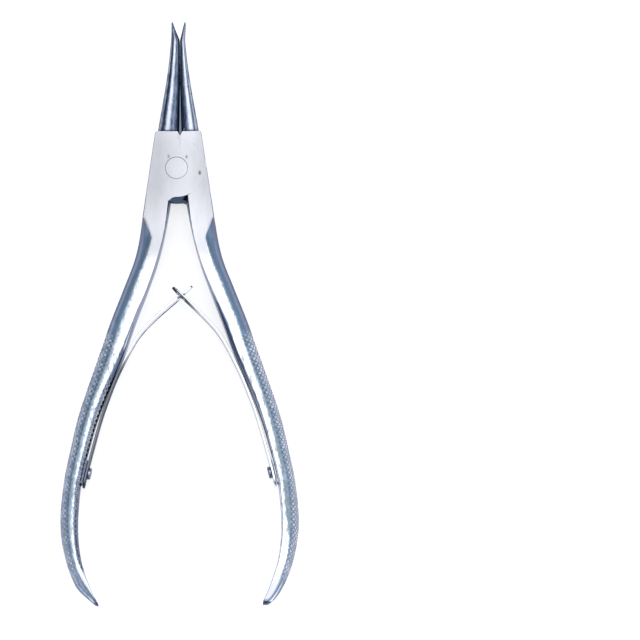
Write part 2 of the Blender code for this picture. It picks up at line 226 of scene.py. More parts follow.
# Each row: how far down the reach, the inner and the outer rounding as shares of the width, the
# flat wall left on the inner and the outer side as shares of half the thickness, and the angle of
# the edge where the ground face meets the outer round.
ROUNDING_SHARES = (
    (0.0633, 0.11, 0.03, 0.03, 0.97, 0.00),
    (0.1160, 0.06, 0.03, 0.03, 0.97, 0.40),
    (0.1180, 0.05, 0.06, 0.05, 0.78, 0.50),
    (0.1260, 0.05, 0.15, 0.14, 0.50, 0.50),
    (0.1380, 0.03, 0.29, 0.26, 0.28, 0.50),
    (0.1500, 0.03, 0.43, 0.40, 0.15, 0.50),
    (0.1600, 0.02, 0.54, 0.48, 0.10, 0.48),
    (0.1900, 0.02, 0.55, 0.54, 0.06, 0.22),
    (0.2400, 0.02, 0.54, 0.60, 0.04, 0.00),
    (0.2900, 0.03, 0.54, 0.60, 0.04, 0.00),
    (0.3300, 0.07, 0.53, 0.60, 0.04, 0.00),
    (0.4200, 0.18, 0.53, 0.56, 0.04, 0.00),
    (0.5200, 0.28, 0.54, 0.55, 0.04, 0.00),
    (1.0000, 0.32, 0.54, 0.55, 0.04, 0.00),
)

# Each row: how far down the reach, and by how much the inner rounding is smaller there.
INNER_ROUND_SCALES = {
    LEFT: ((0.90, 1.0), (0.95, 0.30), (1.0, 0.30)),
    RIGHT: ((0.40, 1.0), (0.62, 0.40), (1.0, 0.35)),
}

# Each row: how far down the reach, where the inner side's painted shade ends and over what width it
# fades, where the flank's painted blue-grey shade and reflection starts and over what width, all as
# shares of the width from the inner side, and how dark the inner side's painted shade is.
LEG_POLISH_SHARES = (
    (0.0633, 0.04, 0.05, 0.97, 0.02, 0.98),
    (0.1160, 0.02, 0.03, 0.97, 0.02, 0.80),
    (0.1180, 0.02, 0.03, 0.94, 0.02, 0.75),
    (0.1260, 0.03, 0.04, 0.86, 0.02, 0.70),
    (0.1380, 0.03, 0.04, 0.73, 0.03, 0.60),
    (0.1500, 0.03, 0.04, 0.59, 0.05, 0.50),
)
POLISH_SHARES = {
    LEFT: LEG_POLISH_SHARES + (
        (0.1600, 0.03, 0.04, 0.50, 0.16, 0.50),
        (0.1780, 0.04, 0.05, 0.46, 0.30, 0.50),
        (0.2600, 0.01, 0.03, 0.45, 0.40, 0.35),
        (0.3520, 0.03, 0.05, 0.44, 0.30, 0.12),
        (0.4000, 0.03, 0.05, 0.42, 0.28, 0.15),
        (0.4200, 0.06, 0.05, 0.40, 0.26, 0.85),
        (0.5000, 0.08, 0.07, 0.38, 0.24, 0.85),
        (0.5200, 0.05, 0.07, 0.38, 0.24, 0.55),
        (0.7230, 0.09, 0.12, 0.31, 0.28, 0.70),
        (0.8850, 0.18, 0.18, 0.38, 0.24, 0.70),
        (0.9250, 0.12, 0.10, 0.44, 0.16, 0.80),
        (0.9400, 0.00, 0.04, 0.38, 0.14, 0.10),
        (0.9660, 0.00, 0.04, 0.26, 0.12, 0.10),
        (0.9930, 0.00, 0.04, 0.10, 0.14, 0.10),
        (0.9960, 1.50, 0.04, 2.00, 0.12, 0.70),
        (1.0000, 1.50, 0.04, 2.00, 0.12, 0.70),
    ),
    RIGHT: LEG_POLISH_SHARES + (
        (0.1600, 0.02, 0.03, 0.50, 0.08, 0.40),
        (0.1780, 0.02, 0.03, 0.48, 0.12, 0.40),
        (0.2600, 0.06, 0.06, 0.50, 0.26, 0.50),
        (0.3520, 0.17, 0.10, 0.54, 0.16, 0.90),
        (0.5380, 0.09, 0.10, 0.40, 0.20, 0.50),
        (0.7230, 0.03, 0.06, 0.26, 0.16, 0.40),
        (0.8000, 0.00, 0.04, 0.24, 0.20, 0.30),
        (0.8600, 0.00, 0.04, 0.50, 0.30, 0.30),
        (0.9000, 0.00, 0.04, 0.64, 0.24, 0.30),
        (0.9300, 0.00, 0.04, 0.76, 0.14, 0.20),
        (0.9840, 0.00, 0.04, 0.91, 0.10, 0.20),
        (0.9930, 0.00, 0.04, 0.94, 0.10, 0.20),
        (0.9955, 1.50, 0.04, 2.00, 0.12, 0.75),
        (1.0000, 1.50, 0.04, 2.00, 0.12, 0.75),
    ),
}

# Each row: a share of a jaw's width from its inner side, and how dark the painted shade and dark
# reflection make the steel there.
JAW_SHADE_SHARES = {
    LEFT: (
        (0.00, 1.00),
        (0.13, 0.97),
        (0.19, 0.50),
        (0.25, 0.05),
        (0.29, 0.40),
        (0.36, 0.72),
        (0.43, 0.45),
        (0.50, 0.05),
        (0.60, 0.00),
        (0.67, 0.45),
        (0.75, 0.85),
        (0.85, 0.72),
        (0.92, 0.50),
        (1.00, 0.35),
    ),
    RIGHT: (
        (0.00, 1.00),
        (0.11, 0.95),
        (0.20, 0.70),
        (0.30, 0.50),
        (0.38, 0.25),
        (0.48, 0.02),
        (0.72, 0.00),
        (0.80, 0.10),
        (0.88, 0.45),
        (0.95, 0.50),
        (1.00, 0.40),
    ),
}
JAW_CREST_SHARES = {LEFT: 0.56, RIGHT: 0.60}
JAW_FLAT_SHARES = {LEFT: 0.02, RIGHT: 0.08}
JAW_TIP_LEANS = {LEFT: 0.0, RIGHT: 0.0003}
JAW_TIP_FROM = 0.80
JAW_CLOSING_SHARE = 0.010
JAW_CLEARANCE = 0.00001

# How far to the right of the split the jaws meet
JAW_MEETING_SHIFT = 0.00045
JAW_MEETING = SPLIT_FROM_PIVOT + JAW_MEETING_SHIFT

# Each row: how far up the jaw, its inner and outer side as shares of the base width, and its
# thickness as a share of the base thickness.
JAW_SHARES = (
    (0.0000, 0.070, 1.000, 1.00),
    (0.1500, 0.047, 0.865, 0.90),
    (0.4400, 0.012, 0.595, 0.69),
    (0.6300, 0.012, 0.450, 0.55),
    (0.8400, 0.014, 0.335, 0.42),
    (0.9200, 0.135, 0.320, 0.30),
    (1.0000, 0.245, 0.315, 0.17),
)
JAW_INNER_WALL_SHARE = 0.30

# Each row: the way from a spring's foot to the crossing, and how far the blade has left the
# handle by then, as a share of its distance from the handle at the crossing.
SPRING_LEAVING_SHARES = (
    (0.000, 0.030),
    (0.126, 0.047),
    (0.293, 0.043),
    (0.461, 0.015),
    (0.544, 0.002),
    (0.628, 0.018),
    (0.711, 0.065),
    (0.795, 0.195),
    (0.878, 0.470),
    (1.000, 1.000),
)

# Colours of the ground faces with their lines and painted sheen, their stains, and the polished
# forgings, with painted shade on the inner sides and in corners and painted glints on the knurl's
# points
FACE_DARK, FACE_LIGHT, STAIN = (0.37, 0.370, 0.392), (0.68, 0.676, 0.688), (0.10, 0.11, 0.13)
POLISH, SMUDGED_POLISH, PATCHES = (0.84, 0.86, 0.91), (0.72, 0.76, 0.84), (0.22, 0.245, 0.28)
INNER_SIDE, INNER_KNURL = (0.060, 0.085, 0.130), (0.075, 0.10, 0.17)
OUTER_KNURL, KNURL_POINTS = (0.42, 0.46, 0.54), (0.95, 0.96, 0.98)
RUBBED, CORNER_SHADE_COLOUR, GRAZING = (0.90, 0.91, 0.95), (0.13, 0.15, 0.20), (0.40, 0.44, 0.56)

# Colours of the jaws, the lap's walls, the rivet's ring, the blades and the screws; the jaws' dark and
# root colours, the walls, the ring, the blades' edge and shade and the corner colours are painted shade
JAW_STREAK, JAW_BRIGHT, JAW_RUBBED = (0.40, 0.43, 0.50), (0.62, 0.65, 0.72), (0.88, 0.90, 0.95)
JAW_DARK, JAW_DARK_GRAZING, JAW_ROOT_SHADE = (0.11, 0.135, 0.20), (0.10, 0.12, 0.17), (0.04, 0.05, 0.09)
WALL_DARK, WALL_LIGHT, WALL_CORNER_SHADE = (0.055, 0.085, 0.11), (0.16, 0.205, 0.24), (0.010, 0.014, 0.022)
RIVET_RING_SHADE = (0.10, 0.11, 0.15)
STRIP, STRIP_BRIGHT, STRIP_SPECKS = (0.80, 0.80, 0.84), (0.93, 0.93, 0.95), (0.35, 0.34, 0.40)
STRIP_EDGE, STRIP_SHADE, STRIP_CORNER_SHADE = (0.13, 0.12, 0.17), (0.045, 0.06, 0.08), (0.05, 0.06, 0.08)
STRIP_GRAZING, STRIP_DARK_GRAZING = (0.90, 0.90, 0.95), (0.16, 0.18, 0.22)
SCREW, SCREW_SMUDGED = (0.40, 0.43, 0.50), (0.26, 0.29, 0.36)
SCREW_RUBBED, SCREW_CORNER_SHADE = (0.88, 0.89, 0.93), (0.05, 0.05, 0.08)

# The flanks' painted shade and reflection from the inner to the outer side: teal, dark blue, then mauve
FLANK_TINTS = (
    (0.28, (0.20, 0.24, 0.27)),
    (0.46, (0.18, 0.23, 0.27)),
    (0.58, (0.23, 0.30, 0.36)),
    (0.70, (0.33, 0.43, 0.55)),
    (0.82, (0.29, 0.36, 0.49)),
    (0.91, (0.19, 0.21, 0.29)),
    (1.00, (0.19, 0.20, 0.26)),
)
END_FLANK_TINTS = (
    (0.20, (0.15, 0.18, 0.22)),
    (0.48, (0.17, 0.21, 0.26)),
    (0.62, (0.50, 0.60, 0.72)),
    (0.80, (0.42, 0.50, 0.62)),
    (0.92, (0.26, 0.29, 0.38)),
    (1.00, (0.19, 0.20, 0.27)),
)

# Small stains on the ground face: where, how wide and how dark each is
STAINS = (
    (-0.00185, 0.00275, 0.00042, 0.55),
    (0.00235, 0.00262, 0.00042, 0.65),
    (0.00545, -0.00125, 0.00046, 0.95),
)
STAIN_FLATNESS = 0.6

# What the steel reflects from the sky's foot to its top
SKY_COLOURS = (
    (0.00, (0.20, 0.23, 0.30)),
    (0.12, (0.09, 0.13, 0.19)),
    (0.45, (0.15, 0.21, 0.30)),
    (0.80, (0.34, 0.42, 0.53)),
    (0.93, (0.92, 0.94, 0.99)),
)
SOFT_LIGHT, WHITE, COOL = (0.62, 0.63, 0.66), (1.0, 1.0, 1.0), (0.92, 0.95, 1.0)

# The floor: half its length, its depth, its colours in the light and in the painted shade of the
# narrowest gaps
FLOOR_HALF, FLOOR_DEPTH, GAP_REACH = 1.2, 0.00002, 0.010
FLOOR_COLOUR, FLOOR_SHADE, FLOOR_SEEN_SHADE = (0.78, 0.78, 0.79), (0.16, 0.21, 0.28), (0.24, 0.31, 0.40)
FLOOR_LIFT = 0.66

# The camera: tilt and roll in degrees, metres a pixel, and where the pivot shows in the frame
CAMERA_TILT, CAMERA_ROLL = 13, -0.45
METRES_PER_PIXEL, FRAME_PIXELS, PIVOT_PIXEL = 0.0002333, 640, (175.8, 167.0)
LENS, SENSOR = 400, 36


def interpolated(rows, at):
    """The other columns of a table of shares, on straight lines between its rows."""
    if at <= rows[0][0]:
        return rows[0][1:]
    for low, high in zip(rows, rows[1:]):
        if at <= high[0]:
            along = (at - low[0]) / (high[0] - low[0])
            return tuple(a + (b - a) * along for a, b in zip(low[1:], high[1:]))
    return rows[-1][1:]


def smooth_between(rows, at):
    """The other columns of a table of shares, on a smooth curve through its rows."""
    last = len(rows) - 1
    n = min(max(sum(row[0] <= at for row in rows) - 1, 0), last - 1)
    low, high = rows[n], rows[n + 1]
    before, after = rows[max(n - 1, 0)], rows[min(n + 2, last)]
    span = high[0] - low[0]
    t = min(max((at - low[0]) / span, 0), 1)
    found = []
    for a, b, c, d in zip(before[1:], low[1:], high[1:], after[1:]):
        slope_low = (c - a) / (high[0] - before[0]) * span
        slope_high = (d - b) / (after[0] - low[0]) * span
        square, cube = t * t, t * t * t
        found.append(
            b * (2 * cube - 3 * square + 1)
            + slope_low * (cube - 2 * square + t)
            + c * (3 * square - 2 * cube)
            + slope_high * (cube - square)
        )
    return tuple(found)


def smooth_step(low, high, at):
    """From 0 at low to 1 at high, for a number or an array."""
    t = np.clip((at - low) / (high - low), 0, 1)
    return t * t * (3 - 2 * t)


def out_from_split(side, out):
    return SPLIT_FROM_PIVOT + side * out


def head_half_width(y):
    """The head's straight side, as a distance from the split."""
    along = (HEAD_TOP - y) / (HEAD_TOP + HEAD_BOTTOM)
    return HEAD_TOP_HALF_WIDTH + (HEAD_BOTTOM_HALF_WIDTH - HEAD_TOP_HALF_WIDTH) * along


def even_curve(curve, steps):
    """Even steps along a curve given by many (out, up) points."""
    along = np.concatenate(([0], np.cumsum(np.hypot(*np.diff(curve, axis=0).T))))
    wanted = np.linspace(0, along[-1], steps + 1)
    return np.column_stack([np.interp(wanted, along, curve[:, n]) for n in (0, 1)])


def quarter(steps, run, rise, lean=0.0):
    """A quarter of an ellipse from (0, rise) to (run, 0). With a lean it starts at an edge."""
    turn = np.linspace(lean, math.pi / 2, CURVE_STEPS)
    out = run * (np.sin(turn) - math.sin(lean)) / (1 - math.sin(lean))
    return even_curve(np.column_stack((out, rise * np.cos(turn) / math.cos(lean))), steps)


def half_section(inner, outer, half, inner_round, inner_wall, outer_round, outer_wall, lean, steps):
    """A section's (out, up) points above its middle, from the inner to the outer side."""
    inner_steps, crest_steps, outer_steps, edge_steps = steps
    wall = np.linspace((inner, 0), (inner, inner_wall), WALL_STEPS + 1)[:-1]
    rise = quarter(inner_steps, inner_round, half - inner_wall)[::-1][:-1]
    rise = np.column_stack((inner + inner_round - rise[:, 0], inner_wall + rise[:, 1]))
    crest = np.linspace((inner + inner_round, half), (outer - outer_round, half), crest_steps + 1)
    fall = quarter(outer_steps, outer_round, half - outer_wall, lean)
    fall = np.column_stack((outer - outer_round + fall[:, 0], outer_wall + fall[:, 1]))
    edge = np.linspace((outer, outer_wall), (outer, 0), edge_steps + 1)[1:]
    return np.concatenate((wall, rise, crest[:-1], fall, edge))


def section(*sizes, lean=0.0, steps=SIDE_STEPS):
    """A whole section: its upper half, and the mirror image below."""
    upper = half_section(*sizes, lean, steps)
    return np.concatenate((upper, (upper * (1, -1))[-2:0:-1]))


def closed_loft(rings):
    """A closed shape through rings of the same number of points."""
    shape = bmesh.new()
    rows = [[shape.verts.new(point) for point in ring] for ring in rings]
    for first, second in zip(rows, rows[1:]):
        for n in range(len(first)):
            after = (n + 1) % len(first)
            shape.faces.new((first[n], first[after], second[after], second[n]))
    shape.faces.new(rows[0])
    shape.faces.new(rows[-1])
    bmesh.ops.recalc_face_normals(shape, faces=shape.faces)
    return shape


def turned(profile, steps):
    """A solid of revolution about Z through (radius, height) points."""
    rings = []
    for radius, height in profile:
        turns = [2 * math.pi * n / steps for n in range(steps)]
        rings.append([(radius * math.cos(a), radius * math.sin(a), height) for a in turns])
    return closed_loft(rings)


def inset(outline, by):
    """A flat outline of (x, y) points, drawn in by a distance."""
    points = np.array(outline)
    before, after = np.roll(points, 1, axis=0), np.roll(points, -1, axis=0)
    area = np.sum(points[:, 0] * after[:, 1] - after[:, 0] * points[:, 1])
    first, second = points - before, after - points
    first /= np.linalg.norm(first, axis=1)[:, None]
    second /= np.linalg.norm(second, axis=1)[:, None]
    inwards = np.column_stack((-(first + second)[:, 1], (first + second)[:, 0])) * np.sign(area)
    return points + inwards * (by / (1 + np.sum(first * second, axis=1)))[:, None]


def prism(outline, low, high, soft=0.0):
    """A raised outline, whose upper edge may be taken off at 45 degrees."""
    rings = [[(x, y, low) for x, y in outline], [(x, y, high - soft) for x, y in outline]]
    if soft:
        rings.append([(x, y, high) for x, y in inset(outline, soft)])
    return closed_loft(rings)


def object_from(name, shape):
    mesh = bpy.data.meshes.new(name)
    shape.to_mesh(mesh)
    shape.free()
    made = bpy.data.objects.new(name, mesh)
    bpy.context.scene.collection.objects.link(made)
    return made


def worked(made, steps):
    """Joins or cuts an object with shapes, which are used up, as (operation, shape) pairs."""
    tools = [object_from("guide", shape) for _, shape in steps]
    for (operation, _), tool in zip(steps, tools):
        step = made.modifiers.new(operation, "BOOLEAN")
        step.operation = operation
        step.solver = "EXACT"
        step.object = tool
    found = made.evaluated_get(bpy.context.evaluated_depsgraph_get())
    mesh = bpy.data.meshes.new_from_object(found)
    made.modifiers.clear()
    made.data = mesh
    for tool in tools:
        bpy.data.objects.remove(tool, do_unlink=True)


def shade(made):
    """Smooth shading that large flat faces lead and sharp edges break."""
    made.data.shade_smooth()
    made.data.set_sharp_from_angle(angle=SHARP_ANGLE)
    weighted = made.modifiers.new("flat faces lead", "WEIGHTED_NORMAL")
    weighted.keep_sharp = True


def read(items, name, width=1, kind=float):
    """One property of all of a mesh's items."""
    values = np.zeros(len(items) * width, kind)
    items.foreach_get(name, values)
    return values.reshape(-1, width) if width > 1 else values


def keep_marks(mesh, label, values, domain="POINT"):
    """Keeps a number at each point or corner, which the finish reads by its label."""
    mesh.attributes.new(label, "FLOAT", domain).data.foreach_set("value", values)


# The two halves


def head_ring(side, y, inner, drawn_in=0.0, corner=0.0):
    """A ring of the head, flat on both faces, with fine softened edges."""
    half, soft = MIDDLE - drawn_in, EDGE_SOFTENING
    outer = head_half_width(y) - drawn_in - corner
    found = section(inner + drawn_in, outer, half, soft, half - soft, 2 * soft, half - 2 * soft)
    level = np.full(len(found), y)
    return np.column_stack((out_from_split(side, found[:, 0]), level, MIDDLE + found[:, 1]))


def handle_section(side, down):
    """The leg's or the handle's section at a share of the reach."""
    centre, width, thick = smooth_between(HANDLE_SHARES, down)
    inner_round, outer_round, inner_wall, outer_wall, lean = interpolated(ROUNDING_SHARES, down)
    inner_round *= interpolated(INNER_ROUND_SCALES[side], down)[0]
    pointed = float(smooth_step(*POINTED_END, down)) * (side == LEFT)
    width *= HANDLE_WIDTH * (1 - POINTED_SHARE * pointed)
    centre -= pointed * POINTED_SHIFT / HANDLE_SPREAD
    half = MIDDLE * min(thick, 1)
    y = -down * HANDLE_REACH
    inner = centre * HANDLE_SPREAD - width / 2
    outer = head_half_width(y) if y > -HEAD_BOTTOM else inner + width
    rounds = (width * inner_round, half * inner_wall, width * outer_round, half * outer_wall)
    return section(inner, outer, half, *rounds, lean=lean)


def centre_slope(down):
    """How far out the handle's middle goes for each step down."""
    high = smooth_between(HANDLE_SHARES, min(down + SLOPE_SHARE, 1))[0]
    low = smooth_between(HANDLE_SHARES, max(down - SLOPE_SHARE, 0))[0]
    return (high - low) * HANDLE_SPREAD / (2 * SLOPE_SHARE * HANDLE_REACH)


def handle_shares():
    """Where the handle's rings go: closer together in the knurling than elsewhere."""
    found, fine = [HANDLE_SHARES[0][0]], KNURL_PITCH / STEPS_PER_DIAMOND
    while found[-1] < 1:
        down = found[-1] * HANDLE_REACH
        knurled = KNURL_TOP - KNURL_FADE < down < KNURL_BOTTOM + KNURL_FADE
        step = fine / math.hypot(1, centre_slope(found[-1])) if knurled else 2 * fine
        found.append(found[-1] + step / HANDLE_REACH)
    return np.array(found[:-1] + [1.0])


def knurl_cover(side, down):
    """How deep the knurling is at each point of each ring: worn away on the crest and on the
    right handle's inner side, and started lower on the left handle's inner side."""
    inner = smooth_step(INNER_STEPS, INNER_STEPS * KNURL_INNER_SHARE, np.arange(INNER_STEPS))
    start, full = (OUTER_STEPS * share for share in KNURL_OUTER_SHARES)
    outer = smooth_step(start, full, np.arange(OUTER_STEPS))
    edge = EDGE_STEPS + 1
    inner = np.pad(inner, (WALL_STEPS, CREST_STEPS + OUTER_STEPS + edge))
    before = np.zeros(WALL_STEPS + INNER_STEPS + CREST_STEPS)
    outer = np.concatenate((before, outer, np.ones(edge)))
    bottom = smooth_step(KNURL_BOTTOM + KNURL_FADE, KNURL_BOTTOM, down)
    outside = bottom * smooth_step(KNURL_TOP, KNURL_TOP + KNURL_FADE, down)
    inside = bottom * smooth_step(INNER_KNURL_TOP, INNER_KNURL_TOP + KNURL_FADE, down) * (side == LEFT)
    upper = np.outer(outside, outer) + np.outer(inside, inner)
    return np.concatenate((upper, upper[:, -2:0:-1]), axis=1)


def polish_marks(side, shares, across):
    """Three values for each point: how far into the inner side's painted shade, how far into the
    flank's painted shade, and how dark the inner side's painted shade is there."""
    rows = np.array([interpolated(POLISH_SHARES[side], down) for down in shares])
    inner_end, inner_fade, flank_start, flank_fade, darkness = (rows[:, n][:, None] for n in range(5))
    to_inner = np.clip(0.5 - (across - inner_end) / inner_fade, -1, 2)
    to_flank = np.clip(0.5 + (across - flank_start) / flank_fade, -1, 2)
    return to_inner, to_flank, np.broadcast_to(darkness, across.shape)


def diamonds(along, around):
    """The height of a field of small pyramids, 0 in the grooves and 1 at the points."""
    turns = ((along + sign * around) / STEPS_PER_DIAMOND for sign in (-1, 1))
    return np.minimum(*(1 - np.abs(1 - 2 * np.mod(turn, 1)) for turn in turns))


def across_rings(rings):
    """How far across its ring each point lies, from 0 on the inner to 1 on the outer side."""
    out = rings[:, :, 0]
    low, high = out.min(axis=1)[:, None], out.max(axis=1)[:, None]
    return (out - low) / (high - low)


def handle_rings(side):
    """The handle's rings, square to its middle line where it is knurled, and the marks that the
    finish reads at each point."""
    base = np.linspace(HANDLE_SHARES[0][0], 1, HANDLE_BASE_STEPS)
    sections = np.array([handle_section(side, down) for down in base])
    shares = handle_shares()
    middle = np.array([smooth_between(HANDLE_SHARES, down)[0] * HANDLE_SPREAD for down in shares])
    slope = np.array([centre_slope(down) for down in shares])
    down = shares * HANDLE_REACH
    square = smooth_step(*(KNURL_TOP - above for above in SQUARED_ABOVE), down)
    square *= smooth_step(HANDLE_REACH - SQUARED_AT_TIP, KNURL_BOTTOM, down)
    rings = np.zeros((len(shares), sections.shape[1], 3))
    for n in range(sections.shape[1]):
        out = np.interp(shares, base, sections[:, n, 0])
        moved = shares - square * slope * (out - middle) / HANDLE_REACH
        rings[:, n, 0] = np.interp(moved, base, sections[:, n, 0])
        rings[:, n, 1] = -moved * HANDLE_REACH
        rings[:, n, 2] = np.interp(moved, base, sections[:, n, 1])
    cover = knurl_cover(side, down)
    steps_down, steps_round = np.arange(len(shares))[:, None], np.arange(rings.shape[1])[None, :]
    height = diamonds(steps_down, steps_round)
    across = across_rings(rings)
    ahead = np.roll(rings, -1, axis=1) - np.roll(rings, 1, axis=1)
    inwards = np.dstack((ahead[:, :, 2], np.zeros_like(cover), -ahead[:, :, 0]))
    inwards /= np.linalg.norm(inwards, axis=2)[:, :, None]
    rings += inwards * (cover * (1 - height) * KNURL_DEPTH)[:, :, None]
    rings[:, :, 0] = out_from_split(side, rings[:, :, 0])
    rings[:, :, 2] += MIDDLE
    return rings, dict(zip(MARKS, (cover, height, across) + polish_marks(side, shares, across)))


def head_marks(rings):
    """The same marks on the head's rings, where only the outer edge is a flank."""
    across = across_rings(rings)
    plain = np.zeros_like(across)
    return dict(zip(MARKS, (plain, plain, across, plain - 1, (across - 0.96) / 0.02, plain)))


def side_object(side, name):
    """The head, leg and handle of one side, with the marks at each point."""
    seam = SEAM_GAP / 2
    rings = [
        head_ring(side, HEAD_TOP - down, seam, drawn_in, CORNER_ROUND * share)
        for down, drawn_in, share in CORNER_ROWS
    ]
    rings += [head_ring(side, y, seam) for y in (0, CROTCH_STEP - HANDLE_SHARES[0][0] * HANDLE_REACH)]
    handle, marks = handle_rings(side)
    made = object_from(name, closed_loft(np.concatenate((rings, handle)).tolist()))
    for label, values in head_marks(np.array(rings) * (side, 1, 1)).items():
        keep_marks(made.data, label, np.concatenate((values, marks[label])).ravel())
    return made


def jaw_sides(side, up):
    """A jaw's inner and outer side, and its thickness as a share, at a share of its length."""
    _, outer, thick = smooth_between(JAW_SHARES, max(up, 0))
    inner = interpolated(JAW_SHARES, up)[0] - JAW_CLOSING_SHARE
    to_tip = float(smooth_step(JAW_TIP_FROM, 1.0, up))
    lean = JAW_TIP_LEANS[side] * to_tip
    meeting = side * JAW_MEETING_SHIFT * (1 - to_tip) * (up > 0)
    return inner * JAW_BASE_WIDTH + JAW_CLEARANCE + meeting + lean, outer * JAW_BASE_WIDTH + lean, thick


def jaw_shade(side, point):
    """How dark the painted shade and dark reflection make the steel at a point of a jaw."""
    inner, outer, _ = jaw_sides(side, (point[1] - HEAD_TOP) / JAW_LENGTH)
    across = (side * (point[0] - SPLIT_FROM_PIVOT) - inner) / (outer - inner)
    return interpolated(JAW_SHADE_SHARES[side], across)[0]


def jaw_shape(side):
    """A tapered round jaw, flattened on its inner side and relieved at the tip. Its root stays on
    its own side of the split, and it steps across just above the head."""
    rings = []
    root, step = -JAW_ROOT / JAW_LENGTH, SEAM_GAP / JAW_LENGTH
    crest, flat = JAW_CREST_SHARES[side], JAW_FLAT_SHARES[side] / 2
    for up in np.concatenate(([root, 0, step], np.linspace(0, 1, JAW_STEPS + 1)[1:])):
        inner, outer, thick = jaw_sides(side, up)
        width, half = outer - inner, thick * JAW_BASE_THICKNESS / 2
        rounds = (width * (crest - flat), half * JAW_INNER_WALL_SHARE, width * (1 - crest - flat), 0)
        found = section(inner, outer, half, *rounds, steps=JAW_SECTION_STEPS)
        y = HEAD_TOP + up * JAW_LENGTH
        rings.append([(out_from_split(side, out), y, MIDDLE + level) for out, level in found])
    return closed_loft(rings)


def lap_shape(side):
    """The round lap over the other half, kept inside the head's side, with a fillet at its leg."""
    points = []
    for n in range(ROUND_STEPS // 2 + 1):
        turn = math.pi * (2 * n / ROUND_STEPS - 1 / 2)
        y = LAP_RADIUS * math.sin(turn)
        furthest = head_half_width(y) - side * SPLIT_FROM_PIVOT
        points.append((-side * min(LAP_RADIUS * math.cos(turn), furthest), y))
    points += [
        (side * LAP_RADIUS / 2, LAP_RADIUS / 2),
        (side * LAP_RADIUS / 2, -LAP_RADIUS - CROTCH_FILLET_DROP),
    ]
    for out_share, drop_share in CROTCH_FILLET_SHARES:
        x = out_from_split(side, out_share * CROTCH_FILLET_LENGTH)
        points.append((x, -math.sqrt(LAP_RADIUS**2 - x**2) - drop_share * CROTCH_FILLET_DROP))
    if side == LEFT:
        return prism(points, MIDDLE + SEAM_GAP / 2, HEAD_THICKNESS)
    return prism(points, 0, MIDDLE - SEAM_GAP / 2)


def lap_pocket(side):
    """The round recess for the other half's lap."""
    radius, middle = LAP_RADIUS + SEAM_GAP, MIDDLE - side * SEAM_GAP / 2
    far = -CUT_OVERRUN if side == LEFT else HEAD_THICKNESS + CUT_OVERRUN
    low, high = sorted((middle, far))
    return turned([(radius, low), (radius, high)], 2 * ROUND_STEPS)


def from_face(side, depth):
    """From below the back face, or for the right side from above the front one, to a depth."""
    if side == LEFT:
        return -CUT_OVERRUN, depth
    return HEAD_THICKNESS - depth, HEAD_THICKNESS + CUT_OVERRUN


def seam_opening(side):
    """The crescent where the seam gapes beside the crotch, on the face that shows the lap."""
    start, end = (math.radians(angle) for angle in SEAM_OPENING_ANGLES)
    inner, outer = [], []
    for share in np.linspace(0, 1, OPENING_STEPS + 1):
        turn = start + (end - start) * share
        across, up = side * math.cos(turn), math.sin(turn)
        wide = LAP_RADIUS + SEAM_GAP + SEAM_OPENING * (1 - share) ** 0.7
        inner.append(((LAP_RADIUS - SEAM_GAP) * across, (LAP_RADIUS - SEAM_GAP) * up))
        outer.append((wide * across, wide * up))
    return prism(inner + outer[::-1], *from_face(side, SEAM_OPENING_DEPTH))


def notch_cuts():
    """The V between the jaws, cut in from both faces and not through."""
    wide = NOTCH_HALF_WIDTH * (1 + CUT_OVERRUN / NOTCH_DEPTH)
    points = [
        (JAW_MEETING, HEAD_TOP - NOTCH_DEPTH),
        (JAW_MEETING + wide, HEAD_TOP + CUT_OVERRUN),
        (JAW_MEETING - wide, HEAD_TOP + CUT_OVERRUN),
    ]
    return [prism(points, *from_face(face, NOTCH_FACE_DEPTH)) for face in (RIGHT, LEFT)]


def countersunk(end_radius, end_height, gap=0.0):
    """The rivet or its bore: a shank with a conical head at each end, alike above and below."""
    head, shank = RIVET_HEAD_RADIUS + gap, RIVET_SHANK_RADIUS + gap
    rim, cone = RIVET_HEAD_RIM, RIVET_HEAD_RIM + RIVET_HEAD_CONE
    lower = [(end_radius, end_height), (head, EDGE_SOFTENING), (head, rim), (shank, cone)]
    upper = [(radius, HEAD_THICKNESS - height) for radius, height in reversed(lower)]
    return turned(lower + upper, ROUND_STEPS)


def rivet_bore():
    """The countersunk bore for the rivet, opened a little at both faces."""
    end = RIVET_HEAD_RADIUS + SEAM_GAP + EDGE_SOFTENING + CUT_OVERRUN
    return countersunk(end, -CUT_OVERRUN, SEAM_GAP)


def rivet_shape():
    """The rivet, flush with both faces, with softened edges."""
    return countersunk(RIVET_HEAD_RADIUS - EDGE_SOFTENING, 0)


# Springs and screws


def beside_handle(down):
    """How far out the middle of a blade lies where it runs along the handle's inner side."""
    centre, width, _ = smooth_between(HANDLE_SHARES, down / HANDLE_REACH)
    inner = centre * HANDLE_SPREAD - width * HANDLE_WIDTH / 2
    return inner - SPRING_HANDLE_GAP - SPRING_THICKNESS / 2


def spring_point(side, way):
    """The middle of a blade at a share of its way from foot to crossing."""
    (left_handle,) = smooth_between(SPRING_LEAVING_SHARES, way)
    furthest = beside_handle(SPRING_CROSSING_DOWN) - side * SPRING_CROSSING_OUT
    down = SPRING_FOOT_DOWN + way * (SPRING_CROSSING_DOWN - SPRING_FOOT_DOWN)
    out = beside_handle(down) - left_handle * furthest
    return Vector((out_from_split(side, out), -down, MIDDLE))


def spring_route(side):
    """Points along a blade from its foot to the crossing, and the direction it goes on in."""
    points = [spring_point(side, n / SPRING_STEPS) for n in range(SPRING_STEPS + 1)]
    return points, (points[-1] - spring_point(side, 1 - CROSSING_STEP)).normalized()


def distances(points):
    """How far along the route each point lies."""
    found = [0.0]
    for first, second in zip(points, points[1:]):
        found.append(found[-1] + (second - first).length)
    return found


